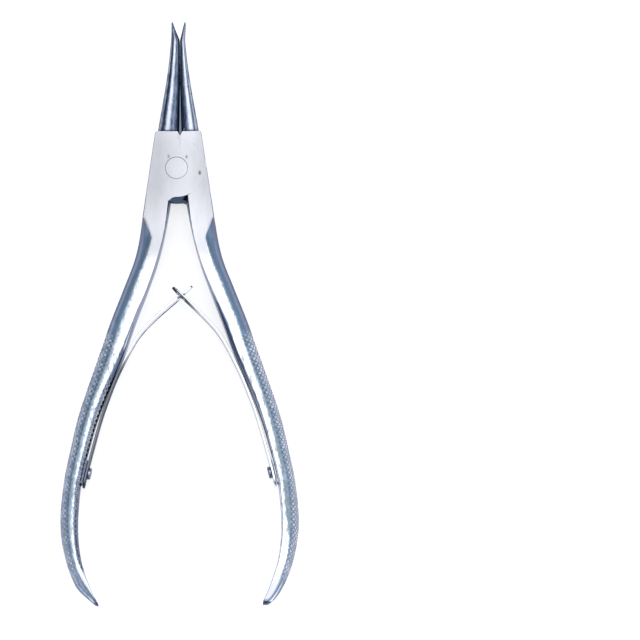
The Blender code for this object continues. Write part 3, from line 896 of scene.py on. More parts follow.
def seat_frame(side):
    """Where a screw's axis meets the blade, and the axis's direction towards the middle."""
    points, _ = spring_route(side)
    along = distances(points)
    n = next(i for i, length in enumerate(along) if length > SCREW_FROM_FOOT)
    part_way = (SCREW_FROM_FOOT - along[n - 1]) / (along[n] - along[n - 1])
    centre = points[n - 1].lerp(points[n], part_way)
    ahead = (points[n] - points[n - 1]).normalized()
    inwards = Vector((-ahead.y, ahead.x, 0)) * side
    return centre, ahead, inwards


def turned_to(shape, centre, x, y, z):
    """Turns a shape made about Z to three directions, and moves it to a place."""
    turn = Matrix((x, y, z)).transposed().to_4x4()
    bmesh.ops.transform(shape, matrix=Matrix.Translation(centre) @ turn, verts=shape.verts)
    return shape


def on_axis(shape, side):
    """Turns a shape made about Z so that Z is the screw's axis, at the blade's middle."""
    centre, ahead, inwards = seat_frame(side)
    return turned_to(shape, centre, ahead, inwards.cross(ahead), inwards)


def block_outline(length, width):
    return [(x * length / 2, y * width / 2) for x, y in ((-1, -1), (1, -1), (1, 1), (-1, 1))]


def stadium(length, width):
    """The outline of a slot with round ends."""
    radius, points = width / 2, []
    for end in (1, -1):
        for n in range(STADIUM_STEPS + 1):
            turn = math.pi * (n / STADIUM_STEPS - 1 / 2)
            out = length / 2 - radius + radius * math.cos(turn)
            points.append((end * out, end * radius * math.sin(turn)))
    return points


def seat_shape(side):
    """The flat pad on the handle's inner side that the blade is screwed to."""
    outline = block_outline(SEAT_LENGTH, SEAT_WIDTH)
    return on_axis(prism(outline, SEAT_TOP - SEAT_SINK, SEAT_TOP, EDGE_SOFTENING), side)


def on_seat(side, points):
    """Which of the given points lie on the seat."""
    centre, ahead, inwards = seat_frame(side)
    away = points - np.array(centre)
    along, level, height = away @ np.array(ahead), away[:, 2], away @ np.array(inwards)
    found = np.abs(along) < SEAT_LENGTH / 2 + SEAT_MARGIN
    found &= np.abs(level) < SEAT_WIDTH / 2 + SEAT_MARGIN
    return found & (height > SEAT_TOP - SEAT_SINK) & (height < SEAT_TOP + SEAT_MARGIN)


def screw_bore(side, low):
    """The cutter for the screw's hole, from a depth below the blade's middle."""
    radius = SCREW_SHANK_RADIUS + SCREW_GAP
    return on_axis(turned([(radius, low), (radius, SPRING_THICKNESS)], SCREW_STEPS), side)


def rounded_off(half, radius, left):
    """Half a blade's width near an end, kept in the end's round."""
    if left >= radius:
        return half
    return min(half, math.sqrt(max(radius**2 - (radius - left) ** 2, 0)))


def blade_half_width(side, length, total):
    """Half the blade's width at a length from its foot. The crossing is at the total length."""
    half = (SPRING_FOOT_WIDTH + (SPRING_NECK_WIDTH - SPRING_FOOT_WIDTH) * min(length / total, 1)) / 2
    half = rounded_off(half, SPRING_FOOT_WIDTH / 2, length)
    past = length - total
    if side == LEFT:
        shoulder = smooth_step(*(-TONGUE_SHOULDER + away for away in SHOULDER_ROUND), past)
        half = TONGUE_WIDTH / 2 + (half - TONGUE_WIDTH / 2) * (1 - shoulder)
        half = rounded_off(half, TONGUE_WIDTH / 2, TONGUE_LENGTH - past)
    else:
        narrowing = smooth_step(SLOT_AFTER, SLOTTED_END_LENGTH, past)
        half += (SLOTTED_END_WIDTH / 2 - half) * narrowing
        half = rounded_off(half, SLOTTED_END_WIDTH / 2 * SLOTTED_END_ROUND, SLOTTED_END_LENGTH - past)
    return max(half, SPRING_THICKNESS / 4)


def blade_painted_shade(side, length, total):
    """How dark painted shade makes a blade at a length: near the crossing on one side, and all round.
    """
    start, end = (total - before for before in SHADED_LENGTHS[side])
    crossing_shade = smooth_step(start, end, length)
    if side == LEFT:
        crossing_shade *= smooth_step(*(total + past for past in BRIGHT_AGAIN), length)
        all_round = BESIDE_HANDLE_SHADE * smooth_step(BESIDE_HANDLE_SHADE_TO, BESIDE_HANDLE_SHADE_FROM, length)
    else:
        all_round = END_SHADE * smooth_step(*(total + past for past in END_SHADED_LENGTHS), length)
    return float(crossing_shade), float(all_round)


def blade_corners(half):
    """A blade's section with softened corners, as (across, up) points."""
    thick, soft = SPRING_THICKNESS / 2, SPRING_THICKNESS * BLADE_SOFT_SHARE
    low_soft, points = min(soft, half), []
    for corner, (a, b) in enumerate(((-1, -1), (1, -1), (1, 1), (-1, 1))):
        for n in range(BLADE_CORNER_STEPS + 1):
            turn = math.pi / 2 * (n / BLADE_CORNER_STEPS + corner) + math.pi
            x = a * (thick - soft) + soft * math.cos(turn)
            points.append((x, b * (half - low_soft) + low_soft * math.sin(turn)))
    return points


def blade_shape(side):
    """A ribbon on edge with softened edges, from the foot past the crossing to its end."""
    points, ahead = spring_route(side)
    along = distances(points)
    total, crossing = along[-1], points[-1]
    past = TONGUE_LENGTH if side == LEFT else SLOTTED_END_LENGTH
    for n in range(1, BLADE_END_STEPS + 1):
        points.append(crossing + ahead * past * n / BLADE_END_STEPS)
        along.append(total + past * n / BLADE_END_STEPS)
    track = np.array(points)
    ends = {along[-1] - end for end in BLADE_FINE_ENDS[1:]}
    rings, marks = [], {"blade edge": [], "blade shade": []}
    for length in sorted(set(along[1:]) | set(BLADE_FINE_ENDS) | ends):
        back, centre, near = (
            np.array([np.interp(length + step, along, track[:, n]) for n in range(3)])
            for step in (-BLADE_PROBE, 0, BLADE_PROBE)
        )
        direction = (near - back) / np.linalg.norm(near - back)
        across = np.array((direction[1], -direction[0], 0))
        half = blade_half_width(side, length, total)
        crossing_shade, all_round = blade_painted_shade(side, length, total)
        corners = blade_corners(half)
        rings.append([tuple(centre + across * x + np.array((0, 0, z))) for x, z in corners])
        for x, z in corners:
            towards_foot = 0.5 - 0.5 * math.tanh(6 * side * x / (SPRING_THICKNESS / 2))
            # Painted shade along the blade's lower edge.
            marks["blade edge"].append(max(0.0, -z / half - 0.6) * 2.5)
            # Painted shade near the crossing, beside the left handle and at the right blade's end.
            marks["blade shade"].append(max(crossing_shade * towards_foot, all_round))
    shape = closed_loft(rings)
    shape.verts.ensure_lookup_table()
    for label, values in marks.items():
        layer = shape.verts.layers.float.new(label)
        for n, value in enumerate(values):
            shape.verts[n][layer] = value
    return shape


def spring_slot():
    """The cutter for the slot in the right blade."""
    points, ahead = spring_route(RIGHT)
    outline = stadium(SLOT_BEFORE + SLOT_AFTER, TONGUE_WIDTH + 2 * SLOT_GAP)
    shape = prism(outline, -SPRING_THICKNESS, SPRING_THICKNESS)
    centre = points[-1] + ahead * (SLOT_AFTER - SLOT_BEFORE) / 2
    turned_to(shape, centre, ahead, Vector((0, 0, 1)), Vector((-ahead.y, ahead.x, 0)))
    bmesh.ops.recalc_face_normals(shape, faces=shape.faces)
    return shape


def screw_shape(side):
    """A cheese-head screw with a domed edge."""
    top, dome = SCREW_SEAT + SCREW_HEAD_HEIGHT, SCREW_HEAD_HEIGHT * SCREW_DOME_SHARE
    profile = [
        (SCREW_SHANK_RADIUS, -SCREW_SHANK_LENGTH),
        (SCREW_SHANK_RADIUS, SCREW_SEAT),
        (SCREW_HEAD_RADIUS - EDGE_SOFTENING, SCREW_SEAT),
        (SCREW_HEAD_RADIUS, SCREW_SEAT + EDGE_SOFTENING),
    ]
    for n in range(DOME_STEPS + 1):
        turn = math.pi / 2 * n / DOME_STEPS
        radius = SCREW_HEAD_RADIUS - dome * SCREW_DOME_WIDTH * (1 - math.cos(turn))
        profile.append((radius, top - dome + dome * math.sin(turn)))
    return on_axis(turned(profile, SCREW_STEPS), side)


def screw_slot(side):
    """The cutter for the slot in a screw's head, turned as the screw was left."""
    top = SCREW_SEAT + SCREW_HEAD_HEIGHT
    outline = block_outline(2 * SCREW_HEAD_RADIUS + SCREW_SLOT_WIDTH, SCREW_SLOT_WIDTH)
    block = prism(outline, top - SCREW_SLOT_DEPTH, top + SCREW_SLOT_DEPTH)
    turn = Matrix.Rotation(math.radians(SCREW_SLOT_TURN * side), 3, "Z")
    bmesh.ops.rotate(block, cent=(0, 0, 0), matrix=turn, verts=block.verts)
    return on_axis(block, side)


# Finishes


class Value:
    """A number, place or colour that changes over a surface. Sums of it are shader nodes."""

    def __init__(self, tree, socket):
        self.tree, self.socket = tree, socket

    def __add__(self, other):
        return math_node("ADD", self, other)

    def __sub__(self, other):
        return math_node("SUBTRACT", self, other)

    def __mul__(self, other):
        return math_node("MULTIPLY", self, other)

    def __abs__(self):
        return math_node("ABSOLUTE", self)


def feed(value, socket):
    """Links a changing value into a socket, or writes a plain one there."""
    if isinstance(value, Value):
        value.tree.links.new(value.socket, socket)
    elif socket.type == "RGBA":
        socket.default_value = (*value, 1.0)
    else:
        socket.default_value = value


def new_node(tree, kind, inputs=None, **settings):
    """A node with its settings, and its inputs fed by name or number."""
    made = tree.nodes.new("ShaderNode" + kind)
    for name, setting in settings.items():
        setattr(made, name, setting)
    for name, value in (inputs or {}).items():
        feed(value, made.inputs[name])
    return made


def math_node(operation, *values):
    tree = next(value.tree for value in values if isinstance(value, Value))
    made = new_node(tree, "Math", dict(enumerate(values)), operation=operation)
    return Value(tree, made.outputs[0])


def vector_node(operation, first, second):
    """Multiplies, scales or compares places or colours."""
    inputs = {0: first, "Scale" if operation == "SCALE" else 1: second}
    made = new_node(first.tree, "VectorMath", inputs, operation=operation)
    compared = operation in ("DISTANCE", "DOT_PRODUCT")
    return Value(first.tree, made.outputs["Value" if compared else "Vector"])


def ranged(value, low, high, to_low=0.0, to_high=1.0):
    """A smooth step from one number to another, as a value goes from low to high."""
    inputs = dict(enumerate((value, low, high, to_low, to_high)))
    made = new_node(value.tree, "MapRange", inputs, interpolation_type="SMOOTHSTEP")
    return Value(value.tree, made.outputs["Result"])


def number(share, first, second):
    """A number between two, each written or changing."""
    made = new_node(share.tree, "Mix", {0: share}, data_type="FLOAT")
    feed(first, made.inputs[2])
    feed(second, made.inputs[3])
    return Value(share.tree, made.outputs[0])


def mixed(share, first, second):
    """A colour between two, each written or changing."""
    made = new_node(share.tree, "Mix", {0: share}, data_type="RGBA")
    feed(first, made.inputs[6])
    feed(second, made.inputs[7])
    return Value(share.tree, made.outputs[2])


def ramp(value, stops):
    """A colour looked up in a row of (place, colour) stops."""
    made = new_node(value.tree, "ValToRGB", {"Fac": value})
    for n, (place, colour) in enumerate(stops):
        stop = made.color_ramp.elements[n] if n < 2 else made.color_ramp.elements.new(place)
        stop.position = place
        stop.color = (*colour, 1.0)
    return Value(value.tree, made.outputs["Color"])


def brighter(colour, times):
    return vector_node("SCALE", colour, times)


def places(tree, kind="Object"):
    """Where each point lies, in metres for the object's own coordinates."""
    return Value(tree, new_node(tree, "TexCoord").outputs[kind])


def split_places(tree, kind="Object"):
    """The same as three numbers: across, along and up."""
    made = new_node(tree, "SeparateXYZ", {0: places(tree, kind)})
    return [Value(tree, output) for output in made.outputs]


def noise(where, detail=3.0, roughness=0.6):
    inputs = {"Vector": where, "Scale": 1.0, "Detail": detail, "Roughness": roughness}
    return Value(where.tree, new_node(where.tree, "TexNoise", inputs).outputs["Fac"])


def clouds(tree, scale, detail=3.0, roughness=0.6):
    """A noise with its own scale along each axis."""
    return noise(vector_node("MULTIPLY", places(tree), scale), detail, roughness)


def attribute(tree, name):
    return Value(tree, new_node(tree, "Attribute", attribute_name=name).outputs["Fac"])


def effect(name, inputs, build):
    """A shader node group of named inputs with their usual values. A function makes its outputs."""
    group = bpy.data.node_groups.new(name, "ShaderNodeTree")
    for label, usual in inputs.items():
        socket = group.interface.new_socket(label, in_out="INPUT", socket_type="NodeSocketFloat")
        socket.default_value = usual
    start = group.nodes.new("NodeGroupInput")
    found = build(group, *(Value(group, start.outputs[label]) for label in inputs))
    for label in found:
        group.interface.new_socket(label, in_out="OUTPUT", socket_type="NodeSocketFloat")
    end = group.nodes.new("NodeGroupOutput")
    for label, value in found.items():
        feed(value, end.inputs[label])
    return group


def lines_effect(group, across, along):
    """Fine parallel lines from grinding or polishing, which run along Y or across it."""
    x, y, z = split_places(group)
    joined = new_node(group, "CombineXYZ", {0: x * across, 1: y * along, 2: z * across})
    fine = noise(Value(group, joined.outputs[0]), 4.0, 0.65)
    return {"Height": fine, "Tone": fine * 0.6 + clouds(group, (260, 60, 260)) * 0.4}


def grain_effect(group, scale):
    """Small pits and specks that come from forging and plating."""
    scaled = vector_node("SCALE", places(group), scale)
    cells = new_node(group, "TexVoronoi", {"Scale": 0.35, "Vector": scaled})
    specks = ranged(Value(group, cells.outputs["Distance"]), 0.16, 0.06)
    return {"Height": noise(scaled, 4.0, 0.7), "Specks": specks}


def smudge_effect(group):
    """Soft cloudy marks from handling, which change the gloss."""
    return {"Amount": ranged(clouds(group, (210, 150, 210), 4.0), 0.35, 0.72)}


def wear_and_shade_effect(group, width, reach):
    """Edges rubbed bright, and painted shade in corners, where ambient occlusion finds the surface
    enclosed.
    """
    rounded = new_node(group, "Bevel", {"Radius": width}, samples=4)
    shape = new_node(group, "NewGeometry")
    normals = (Value(group, made.outputs["Normal"]) for made in (rounded, shape))
    edges = ranged(vector_node("DOT_PRODUCT", *normals), 0.99, 0.90)
    edges = edges * ranged(clouds(group, (1400, 1400, 1400)), 0.25, 0.6, 0.4, 1.0)
    near = new_node(group, "AmbientOcclusion", {"Distance": reach}, samples=6)
    return {"Edges": edges, "Corner shade": ranged(Value(group, near.outputs["AO"]), 0.9, 0.35)}


EFFECTS = {
    "lines": effect("polishing lines", {"Across": 9000.0, "Along": 350.0}, lines_effect),
    "grain": effect("metal grain", {"Scale": 4000.0}, grain_effect),
    "smudges": effect("handling smudges", {}, smudge_effect),
    "wear_and_shade": effect("edge wear", {"Width": 0.00008, "Reach": 0.0006}, wear_and_shade_effect),
}


def placed_effect(tree, name, **values):
    """An effect in a material with its own values, as its outputs by name."""
    made = new_node(tree, "Group", node_tree=EFFECTS[name])
    for label, value in values.items():
        made.inputs[label].default_value = value
    return {output.name: Value(tree, output) for output in made.outputs}


def new_steel(name):
    made = bpy.data.materials.new(name)
    made.use_nodes = True
    return made, made.node_tree


def finish_steel(tree, colour, roughness, heights, metallic=1.0, grazing=GRAZING):
    """Feeds the shader. The relief is (height, depth in metres) pairs, which add up."""
    scaled = [height * depth for height, depth in heights]
    height = sum(scaled[1:], scaled[0])
    bump = new_node(tree, "Bump", {"Height": height, "Strength": 1.0, "Distance": 1.0})
    shader = tree.nodes["Principled BSDF"]
    feed(colour, shader.inputs["Base Color"])
    feed(roughness, shader.inputs["Roughness"])
    feed(metallic, shader.inputs["Metallic"])
    feed(grazing, shader.inputs["Specular Tint"])
    feed(Value(tree, bump.outputs["Normal"]), shader.inputs["Normal"])


def further_down(tree):
    """0 on the legs, and 1 on the handles below the springs' start."""
    return ranged(split_places(tree)[1], -0.028, -0.048)


def near_end(tree):
    """1 on the last of the handles, below the knurling, and 0 above."""
    return ranged(split_places(tree)[1], -0.091, -0.097)


def by_side(tree, left, right):
    """One number on the left side, and another on the right."""
    return ranged(split_places(tree)[0], -0.005, 0.005, left, right)


def ragged(value, amount):
    """A 0 to 1 step whose edge a fine noise breaks up."""
    shift = (clouds(value.tree, (1900, 1100, 1900), 4.0, 0.75) - 0.5) * amount
    return ranged(value + shift, 0.0, 1.0)


def flank_tint(tree):
    """Painted shade and reflection on the flanks, paler in clouds and in blotches on the handles."""
    across = attribute(tree, "across")
    tint = mixed(near_end(tree), ramp(across, FLANK_TINTS), ramp(across, END_FLANK_TINTS))
    pale = ranged(clouds(tree, (1500, 900, 1500), 4.0, 0.75), 0.38, 0.66)
    pale = mixed(pale * number(further_down(tree), 0.2, 0.5), tint, brighter(tint, 1.5))
    blotches = ranged(clouds(tree, (620, 330, 620), 3.0, 0.65), 0.50, 0.66, 0.0, 0.6)
    return mixed(blotches * further_down(tree), pale, brighter(tint, 1.8))


def ground_tone_and_sheen(tree, lines):
    """How bright the ground faces are: a painted sheen, brightest in the middle, towards the legs and
    at the top, with fine lines and a faint line on below the notch."""
    x, y, _ = split_places(tree)
    below = HEAD_TOP - NOTCH_DEPTH
    line = ranged(abs(x - JAW_MEETING), 0.00020, 0.00004) * ranged(y, below - 0.0036, below - 0.0010)
    middle = ranged(abs(x - 0.0022), 0.0068, 0.0004, 0.0, 0.40)
    legs = ranged(y, -0.003, -0.015, 0.0, 0.42)
    top = ranged(y, 0.003, 0.009, 0.0, 0.14)
    cloudy = (clouds(tree, (330, 210, 330)) - 0.5) * 0.22
    return line * -0.30 + middle + legs + top + (lines - 0.5) * 0.55 + cloudy + 0.14


def ground_colour(tree, lines):
    return mixed(ground_tone_and_sheen(tree, lines), FACE_DARK, FACE_LIGHT)


def stained(tree, lines, colour):
    """A colour with the small dark stains of the ground face on it."""
    flat = vector_node("MULTIPLY", places(tree), (1, STAIN_FLATNESS, 0))
    for x, y, width, darkness in STAINS:
        away = vector_node("DISTANCE", flat, (x, STAIN_FLATNESS * y, 0)) + (lines - 0.5) * width
        colour = mixed(ranged(away, width, width * 0.2, 0.0, darkness), colour, STAIN)
    return colour


def forging_steel():
    """Satin ground faces with painted sheen, bright polished legs and handles with painted shade and
    reflection on their flanks and inner sides, worn knurling with painted glints, and painted shade in
    corners.
    """
    made, tree = new_steel("ground and polished forging")
    lines = placed_effect(tree, "lines", Across=7000.0, Along=300.0)
    grain = placed_effect(tree, "grain", Scale=5200.0)
    smudges = placed_effect(tree, "smudges")["Amount"]
    wear_and_shade = placed_effect(tree, "wear_and_shade", Reach=0.0005)
    ground, cover = attribute(tree, "ground face"), attribute(tree, "knurl cover")
    flank = ragged(attribute(tree, "to flank"), 1.5)
    inner = ragged(attribute(tree, "to inner"), 0.4) * attribute(tree, "inner shade")
    satin = stained(tree, lines["Tone"], ground_colour(tree, lines["Tone"]))
    patchy = ranged(clouds(tree, (1500, 420, 1500), 4.0, 0.7), 0.46, 0.68)
    patchy = patchy * further_down(tree) * number(near_end(tree), 1.0, 0.1)
    bright = mixed(patchy, mixed(smudges, POLISH, SMUDGED_POLISH), PATCHES)
    # Painted shade and reflection on the flanks, and painted shade on the inner side.
    polished = mixed(inner, mixed(flank, bright, flank_tint(tree)), INNER_SIDE)
    # The knurl's points: partly worn bright, partly painted glints, more of them on the right handle;
    # they and the handles' end are made less metallic.
    rubbed = ranged(clouds(tree, (520, 520, 520), 2.0), 0.42, 0.56, 0.05, 1.0)
    rubbed = math_node("MAXIMUM", rubbed * by_side(tree, 0.6, 1.0), by_side(tree, 0.03, 0.55))
    points = ranged(attribute(tree, "knurl height"), 0.27, 0.46) * cover * rubbed
    points = points * number(inner, 1.0, 0.25)
    grooves = mixed(inner, mixed(cover * 0.40, polished, OUTER_KNURL), INNER_KNURL)
    colour = mixed(ground, mixed(points, grooves, KNURL_POINTS), satin)
    colour = mixed(wear_and_shade["Edges"] * number(ground, 0.6, 0.0), colour, RUBBED)
    # Painted shade in corners, found by ambient occlusion, weaker in the knurling and further down.
    corner_shade = wear_and_shade["Corner shade"] * number(cover, 0.7, 0.1) * number(further_down(tree), 1.0, 0.4)
    colour = mixed(corner_shade, colour, CORNER_SHADE_COLOUR)
    whitened = near_end(tree) * number(flank, 0.15, 0.0) * number(inner, 1.0, 0.0)
    scattering = math_node("MAXIMUM", points * number(ground, 0.55, 0.0), whitened)
    polish_gloss = number(flank, number(smudges, 0.12, 0.24), 0.42)
    gloss = number(ground, polish_gloss, number(lines["Tone"], 0.46, 0.34))
    heights = [(lines["Height"] * ground, 0.000006), (grain["Height"], 0.0000016)]
    finish_steel(tree, colour, gloss, heights, metallic=math_node("SUBTRACT", 1.0, scattering))
    return made


def jaw_steel():
    """Steel polished round the jaws, with painted shade and dark reflection on its sides, and painted
    shade at the root and in corners.
    """
    made, tree = new_steel("polished jaw")
    lines = placed_effect(tree, "lines", Across=900.0, Along=5200.0)
    grain = placed_effect(tree, "grain", Scale=3800.0)
    smudges = placed_effect(tree, "smudges")["Amount"]
    wear_and_shade = placed_effect(tree, "wear_and_shade", Reach=0.0009)
    # Painted shade and dark reflection across each jaw, broken up by streaks.
    streaks = (clouds(tree, (2100, 420, 2100), 4.0, 0.7) - 0.47) * 2.1
    dark = ranged(attribute(tree, "jaw shade") + streaks, 0.0, 1.0)
    colour = mixed(dark, mixed(lines["Tone"], JAW_STREAK, JAW_BRIGHT), JAW_DARK)
    colour = mixed(wear_and_shade["Edges"] * number(dark, 0.3, 0.0), colour, JAW_RUBBED)
    # Painted shade at the jaw's root and in its corners.
    root = ranged(split_places(tree)[1], HEAD_TOP + 0.0009, HEAD_TOP + 0.0003)
    colour = mixed(math_node("MAXIMUM", wear_and_shade["Corner shade"], root) * 0.9, colour, JAW_ROOT_SHADE)
    heights = [(lines["Height"], 0.0000035), (grain["Height"], 0.0000040)]
    grazing = mixed(dark, GRAZING, JAW_DARK_GRAZING)
    finish_steel(tree, colour, number(smudges, 0.19, 0.31), heights, grazing=grazing)
    return made


def wall_steel():
    """The lap's milled inner walls and the notch's faces, painted dark as shade, darkest in corners."""
    made, tree = new_steel("oiled lap wall")
    lines = placed_effect(tree, "lines", Across=1200.0, Along=4200.0)
    grain = placed_effect(tree, "grain", Scale=2600.0)
    wear_and_shade = placed_effect(tree, "wear_and_shade", Reach=0.0012)
    colour = mixed(wear_and_shade["Corner shade"], mixed(lines["Tone"], WALL_DARK, WALL_LIGHT), WALL_CORNER_SHADE)
    heights = [(lines["Height"], 0.000008), (grain["Height"], 0.000004)]
    finish_steel(tree, colour, number(grain["Specks"], 0.32, 0.2), heights)
    return made


def rivet_steel():
    """Ground with the head's face, with painted shade in the ring round it."""
    made, tree = new_steel("ground rivet")
    lines = placed_effect(tree, "lines", Across=7000.0, Along=300.0)
    wear_and_shade = placed_effect(tree, "wear_and_shade", Reach=0.0003)
    colour = mixed(wear_and_shade["Corner shade"] * 0.8, ground_colour(tree, lines["Tone"]), RIVET_RING_SHADE)
    finish_steel(tree, colour, number(lines["Tone"], 0.44, 0.33), [(lines["Height"], 0.000006)])
    return made


def spring_steel():
    """Rolled strip, bright, with painted shade along its lower edge, near the crossing, beside the left
    handle, at the right blade's end and in corners.
    """
    made, tree = new_steel("rolled spring strip")
    lines = placed_effect(tree, "lines", Across=6000.0, Along=260.0)
    grain = placed_effect(tree, "grain", Scale=5200.0)
    smudges = placed_effect(tree, "smudges")["Amount"]
    wear_and_shade = placed_effect(tree, "wear_and_shade", Reach=0.0005)
    blotches = (clouds(tree, (420, 420, 900), 4.0, 0.7) - 0.5) * 0.4
    # Painted shade: along the lower edge, from the blade's shade marks, and in corners.
    edge = ranged(attribute(tree, "blade edge") + blotches, 0.40, 0.62) * 0.92
    shaded_blade = attribute(tree, "blade shade")
    colour = mixed(lines["Tone"], STRIP, STRIP_BRIGHT)
    colour = mixed(grain["Specks"] * 0.3, colour, STRIP_SPECKS)
    colour = mixed(shaded_blade, mixed(edge, colour, STRIP_EDGE), STRIP_SHADE)
    colour = mixed(wear_and_shade["Corner shade"] * 0.5, colour, STRIP_CORNER_SHADE)
    grazing = mixed(math_node("MAXIMUM", shaded_blade, edge), STRIP_GRAZING, STRIP_DARK_GRAZING)
    heights = [(lines["Height"], 0.000003)]
    finish_steel(tree, colour, number(smudges, 0.22, 0.34), heights, grazing=grazing)
    return made


def screw_steel():
    """Turned steel, smudged, with rubbed edges and painted shade in the slot and corners."""
    made, tree = new_steel("turned screw")
    grain = placed_effect(tree, "grain", Scale=4200.0)
    smudges = placed_effect(tree, "smudges")["Amount"]
    wear_and_shade = placed_effect(tree, "wear_and_shade", Reach=0.0007)
    colour = mixed(wear_and_shade["Edges"] * 0.7, mixed(smudges, SCREW, SCREW_SMUDGED), SCREW_RUBBED)
    colour = mixed(wear_and_shade["Corner shade"] * 0.8, colour, SCREW_CORNER_SHADE)
    finish_steel(tree, colour, number(smudges, 0.16, 0.3), [(grain["Height"], 0.000003)])
    return made


# Pieces on the frame


def finish_faces(mesh, finishes):
    """Gives each face its finish, and tells which faces are ground flat."""
    mesh.materials.clear()
    for finish in finishes:
        mesh.materials.append(finish)
    normals, centres = read(mesh.polygons, "normal", 3), read(mesh.polygons, "center", 3)
    x, y = centres[:, 0], centres[:, 1]
    out, height = np.abs(x - SPLIT_FROM_PIVOT), np.abs(centres[:, 2] - MIDDLE)
    flat = (height > MIDDLE - FLAT_DEPTH) & (np.abs(normals[:, 2]) > 0.99)
    inside = (np.hypot(x, y) < LAP_RADIUS + LAP_WALL_REACH) & (out < LAP_RADIUS * 0.99)
    inside &= height < MIDDLE - 1.5 * EDGE_SOFTENING
    inside &= ~((np.abs(normals[:, 0]) > 0.98) & (out > head_half_width(y) - HEAD_SIDE_DEPTH))
    notch = (np.abs(x - JAW_MEETING) < 2 * NOTCH_HALF_WIDTH) & (y > HEAD_TOP - 1.02 * NOTCH_DEPTH)
    # Faces in the lap's recess and in the notch get the wall finish, which is painted shade.
    shade_painted = (inside | (notch & (y < HEAD_TOP - SAME_PLACE))) & ~flat
    slots = np.where(y > HEAD_TOP + SAME_PLACE, 1, np.where(shade_painted, 2, 0))
    mesh.polygons.foreach_set("material_index", slots.astype(np.int32))
    return flat


def mark_points(side, mesh, flat):
    """Marks the head's outer edge for the flanks' painted shade, the seat for the inner side's painted
    shade, the jaw's painted shades, and the ground faces, which fade into the handles."""
    points = read(mesh.vertices, "co", 3)
    x, y = points[:, 0], points[:, 1]
    head = (-y < HEAD_BOTTOM) & (y < HEAD_TOP + SAME_PLACE)
    outside = head & (np.abs(x - SPLIT_FROM_PIVOT) > head_half_width(y) - HEAD_EDGE_DEPTH)
    seat = on_seat(side, points)
    for label, where, value in (
        ("across", outside, 1.0),
        ("to flank", outside, 2.0),
        ("to inner", seat, 2.0),
        ("inner shade", seat, SEAT_SHADE[side]),
    ):
        layer = mesh.attributes[label].data
        layer.foreach_set("value", np.where(where, value, read(layer, "value")))
    shades = [jaw_shade(side, point) if point[1] > HEAD_TOP else 0.0 for point in points]
    keep_marks(mesh, "jaw shade", shades)
    on_flat = np.repeat(flat, read(mesh.polygons, "loop_total", kind=np.int32))
    down = -y[read(mesh.loops, "vertex_index", kind=np.int32)]
    ground = on_flat * smooth_step(*GROUND_FADE, down)
    keep_marks(mesh, "ground face", ground.astype(np.float32), "CORNER")


def half_piece(side, name, node_name, body, finishes):
    """One forging: its side with lap, jaw and seat joined on, and all pockets and bores cut."""
    made = side_object(side, name)
    joined = [lap_shape(side), jaw_shape(side), seat_shape(side)]
    cut = [lap_pocket(side), rivet_bore(), screw_bore(side, -SCREW_SHANK_LENGTH - SCREW_GAP)]
    cut += [seam_opening(side)] + notch_cuts()
    worked(made, [("UNION", shape) for shape in joined] + [("DIFFERENCE", shape) for shape in cut])
    mark_points(side, made.data, finish_faces(made.data, finishes))
    shade(made)
    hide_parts(node_name)
    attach(made, body)


def finished(made, material, node_name):
    """Gives a piece of one material its finish, and hides the part it stands in for."""
    made.data.materials.clear()
    made.data.materials.append(material)
    shade(made)
    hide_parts(node_name)
    return made


def spring_piece(side, name, node_name, material):
    """One blade, from its foot past the crossing, with its screw's hole and, on the right, its slot
    cut.
    """
    made = object_from(name, blade_shape(side))
    cuts = [screw_bore(side, -SPRING_THICKNESS)] + ([spring_slot()] if side == RIGHT else [])
    worked(made, [("DIFFERENCE", shape) for shape in cuts])
    finished(made, material, node_name)
    crossing, start = spring_point(side, 1), spring_point(side, BEND_START)
    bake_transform(made)


def screw_piece(side, name, node_name, body, material):
    """One slotted screw."""
    made = object_from(name, screw_shape(side))
    worked(made, [("DIFFERENCE", screw_slot(side))])
    finished(made, material, node_name)
    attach(made, body)


# Floor, light and camera


def ray(tree, kind):
    return Value(tree, new_node(tree, "LightPath").outputs[kind])


def pale_floor():
    """A pale floor that the camera and the metal see as white, with the shadow kept. Painted shade
    darkens it where ambient occlusion finds it enclosed, most in the narrow gap between the jaws."""
    shape = bmesh.new()
    corners = block_outline(2 * FLOOR_HALF, 2 * FLOOR_HALF)
    shape.faces.new([shape.verts.new((x, y, -FLOOR_DEPTH)) for x, y in corners])
    made = object_from("floor", shape)
    material = bpy.data.materials.new("pale floor")
    material.use_nodes = True
    tree = material.node_tree
    x, y, _ = split_places(tree)
    near = new_node(tree, "AmbientOcclusion", {"Distance": GAP_REACH}, samples=16)
    near = Value(tree, near.outputs["AO"])
    between = ranged(abs(x - JAW_MEETING), 0.0030, 0.0015) * ranged(y, 0.0082, 0.0092)
    hidden = between * ranged(near, 0.62, 0.25)
    lit = math_node("MINIMUM", ranged(near, 0.03, 0.14), math_node("SUBTRACT", 1.0, hidden))
    seen = math_node("MAXIMUM", ray(tree, "Is Camera Ray"), ray(tree, "Is Glossy Ray"))
    seen = math_node("MAXIMUM", seen, ray(tree, "Is Transmission Ray"))
    lift = {"Color": mixed(lit, FLOOR_SEEN_SHADE, WHITE), "Strength": seen * FLOOR_LIFT}
    shader = tree.nodes["Principled BSDF"]
    shader.inputs["Roughness"].default_value = 0.9
    shader.inputs["Specular IOR Level"].default_value = 0.0
    feed(mixed(lit, FLOOR_SHADE, FLOOR_COLOUR), shader.inputs["Base Color"])
    both = new_node(tree, "AddShader")
    tree.links.new(shader.outputs[0], both.inputs[0])
    tree.links.new(new_node(tree, "Emission", lift).outputs[0], both.inputs[1])
    tree.links.new(both.outputs[0], tree.nodes["Material Output"].inputs["Surface"])
    made.data.materials.append(material)


